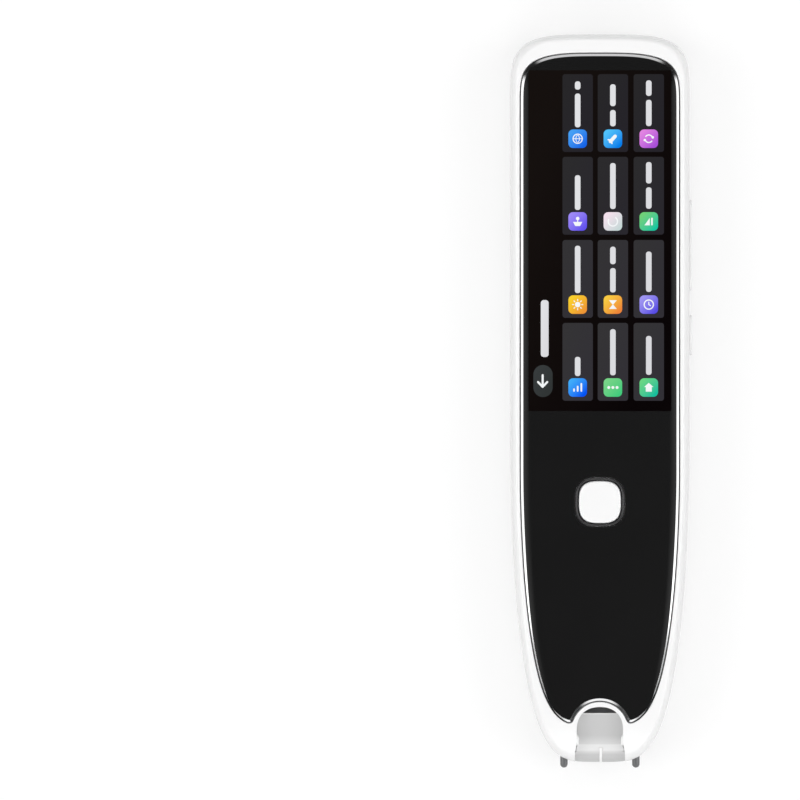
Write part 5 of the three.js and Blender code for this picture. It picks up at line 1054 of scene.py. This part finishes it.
dress(front_shell(), "pen_body", SHELL, ["front_housing"])
dress(rear_shell(), "pen_body", SHELL, ["rear_cover"])
dress(cover_glass(), "pen_body", None, ["cover_glass"], 50.0)
dress(home_cap(), "home_key", "button_gloss_white", ["home_button"])
dress(home_ring(), "pen_body", "trim_gloss_black", ["home_button_ring"])
dress(side_key("volume_bar", VOLUME_Y, VOLUME_LENGTH, (-VOLUME_PRESS, VOLUME_PRESS)), "volume_key",
      SHELL, ["volume_rocker"])
dress(side_key("power_bar", POWER_Y, POWER_LENGTH, (0,)), "power_key", SHELL,
      ["power_button"])
dress(window_plate(), "pen_body", "window_satin_grey", ["scan_window"])
dress(centre_mark(), "pen_body", "mark_white", ["aim_mark"])
for side_name, side in (("left", -1), ("right", 1)):
    dress(trigger_pin(f"pin_{side_name}", side * PIN_X), "scan_trigger", PIN,
          [f"trigger_pin_{side_name}"])
    spring = dress(coil_spring(f"spring_{side_name}", side * PIN_X), "pen_body", PIN,
                   [f"trigger_spring_{side_name}"])
    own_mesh(spring)


def show(name, outlines, level, finish):
    """A thin piece of the screen's content."""
    piece = flat_piece(name, outlines, level)
    paint(piece, finish)
    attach(piece, "pen_body")


show("screen_field", [rounded(2 * SCREEN_HALF, SCREEN_HIGH - SCREEN_LOW, SCREEN_CORNER, 0,
                              (SCREEN_HIGH + SCREEN_LOW) / 2)], 1, "screen_dark")
label_bars = []
for row, (tile_y, _, tiles) in enumerate(MENU):
    icon_y = tile_y - TILE_LENGTH / 2 + ICON_UP
    for column, (tile_x, (sign_name, first, second, ends)) in enumerate(zip(TILE_X, tiles)):
        place = f"{row + 1}_{column + 1}"
        show(f"tile_{place}", [rounded(TILE_WIDTH, TILE_LENGTH, TILE_CORNER, tile_x, tile_y)], 2,
             f"tile_dark_{row + 1}")
        lit(f"icon_{place}", linear(*first), linear(*second))
        show(f"icon_{place}", [rounded(ICON_SIZE, ICON_SIZE, ICON_CORNER, tile_x, icon_y)], 3,
             f"icon_{place}")
        show(f"sign_{place}", sign(sign_name, tile_x, icon_y), 4, "sign_white")
        for start, end in zip(ends[::2], ends[1::2]):
            label_bars.append(rounded(LABEL_WIDTH, end - start, LABEL_CORNER, tile_x,
                                      icon_y + (start + end) / 2, LABEL_STEPS))
show("label_bars", label_bars, 3, "label_white")
show("back_pill", [turned(stadium(*PILL_HALVES), HALF_PI, PILL_X, PILL_Y)], 2, "pill_grey")
show("back_arrow", sign("back", ARROW_X, PILL_Y), 3, "sign_white")
show("title_bar", [rounded(*TITLE)], 2, "label_white")

# Camera: straight above the pen, turned towards the middle of the photograph's frame
FRAME_WIDTH, LENS, SENSOR = 164.8, 600.0, 36.0
NEAREST, FARTHEST = 0.05, 20.0
AIM_Z = 8.0
AIM_POINT = Vector((-41.18, -0.3, AIM_Z))
CAMERA_PLACE = Vector((0.0, 0.0, AIM_Z + FRAME_WIDTH * LENS / SENSOR))
camera_data = bpy.data.cameras.new("camera")
camera_data.lens = LENS
camera_data.sensor_width = SENSOR
camera_data.clip_start = NEAREST
camera_data.clip_end = FARTHEST
camera = bpy.data.objects.new("camera", camera_data)
bpy.context.scene.collection.objects.link(camera)
ahead = (AIM_POINT - CAMERA_PLACE).normalized()
right = ahead.cross(Vector((0, 1, 0))).normalized()
upward = right.cross(ahead)
turn_matrix = Matrix((right, upward, -ahead)).transposed().to_4x4()
camera.matrix_world = Matrix.Translation(CAMERA_PLACE * MM) @ turn_matrix
bpy.context.scene.camera = camera

# Floor: pale, lit, and as white as the background where it is seen
FLOOR_HALF, FLOOR_THICK, FLOOR_TONES, FLOOR_GLOW = 2500, 20, (0.40, 0.41), 0.61
floor = block("floor", (-FLOOR_HALF, -FLOOR_HALF, -FLOOR_THICK), (FLOOR_HALF, FLOOR_HALF, 0))
pale = Finish("floor_pale", Roughness=0.9, Specular_IOR_Level=0.1, Emission_Color=grey(1.0))
light_path = pale.node("LightPath").outputs
seen = pale.math("MAXIMUM", light_path["Is Camera Ray"], light_path["Is Glossy Ray"],
                 light_path["Is Transmission Ray"])
pale.put(Base_Color=pale.mixed(pale.ranged(pale.noise(3.0), 0, 1), *(grey(tone) for tone in FLOOR_TONES)),
         Emission_Strength=pale.math("MULTIPLY", seen, FLOOR_GLOW))
floor.data.materials.append(pale.material)

# World: dim straight above, soft panels round it, a wide soft ring, and white towards the horizon.
# Panels: from which lean of a direction to their side they come up, to which, and their strength
SIDE_PANELS, TOP_PANEL, TIP_PANEL = (0.90, 0.985, 2.3), (0.848, 0.961, 1.15), (-0.766, -0.966, 1.7)
LOW_SIDES, LOW_TIP, LOW_TOP = (0.5, 0.8, 0.55), (-0.3, -0.7, 0.4), (0.5, 0.8, 0.2)
# Degrees from straight above over which the panels at the sides and the ends come up
SIDE_RISE, END_RISE = (1, 35), (12, 34)
# Heights, as the upward share of a direction, over which a light comes in or fades out
PANEL_FOOT, LOW_IN, LOW_OUT = (0.40, 0.52), (0.1, 0.2), (0.5, 0.4)
RING_IN, RING_OUT = (0.35, 0.45), (0.78, 0.72)
RING_SIDES, RING_LEAST, HORIZON_IN, HORIZON, DIMMEST = 0.6, 0.4, (0.18, 0.08), 0.98, 0.02
LEAST_SQUARE = 1e-6
world = bpy.data.worlds.new("studio")
bpy.context.scene.world = world
world.use_nodes = True
studio = Nodes(world.node_tree)


def added(*sources):
    return studio.math("ADD", *sources)


def times(*sources):
    return studio.math("MULTIPLY", *sources)


def panel(lean, start, end, strength):
    return times(studio.step(lean, start, end), strength)


dx, dy, dz = studio.split(studio.node("TexCoord").outputs["Generated"])
level_reach = studio.math("SQRT", studio.math(
    "MAXIMUM", studio.math("SUBTRACT", 1.0, times(dz, dz)), LEAST_SQUARE))
side_lean = studio.math("DIVIDE", studio.math("ABSOLUTE", dx), level_reach)
end_lean = studio.math("DIVIDE", dy, level_reach)
from_zenith = studio.math("ARCCOSINE", dz)
side_rise = studio.ranged(from_zenith, 0.0, 1.0, *(radians(angle) for angle in SIDE_RISE))
end_rise = studio.step(from_zenith, *(radians(angle) for angle in END_RISE))
side_light = times(panel(side_lean, *SIDE_PANELS), side_rise)
end_panels = studio.math("MAXIMUM", panel(end_lean, *TOP_PANEL), panel(end_lean, *TIP_PANEL))
high_light = times(studio.math("MAXIMUM", side_light, times(end_panels, end_rise)),
                   studio.step(dz, *PANEL_FOOT))
low_panels = added(panel(side_lean, *LOW_SIDES), panel(end_lean, *LOW_TIP), panel(end_lean, *LOW_TOP))
low_light = times(low_panels, studio.step(dz, *LOW_IN), studio.step(dz, *LOW_OUT))
ring_light = times(studio.step(dz, *RING_IN), studio.step(dz, *RING_OUT),
                   added(times(studio.step(side_lean, *LOW_SIDES[:2]), RING_SIDES), RING_LEAST))
horizon_light = times(studio.step(dz, *HORIZON_IN), HORIZON)
background = studio.tree.nodes["Background"]
studio.feed(background, {"Strength": added(high_light, low_light, ring_light, horizon_light, DIMMEST),
                         "Color": grey(1.0)})

bpy.context.scene.view_settings.view_transform = "Standard"
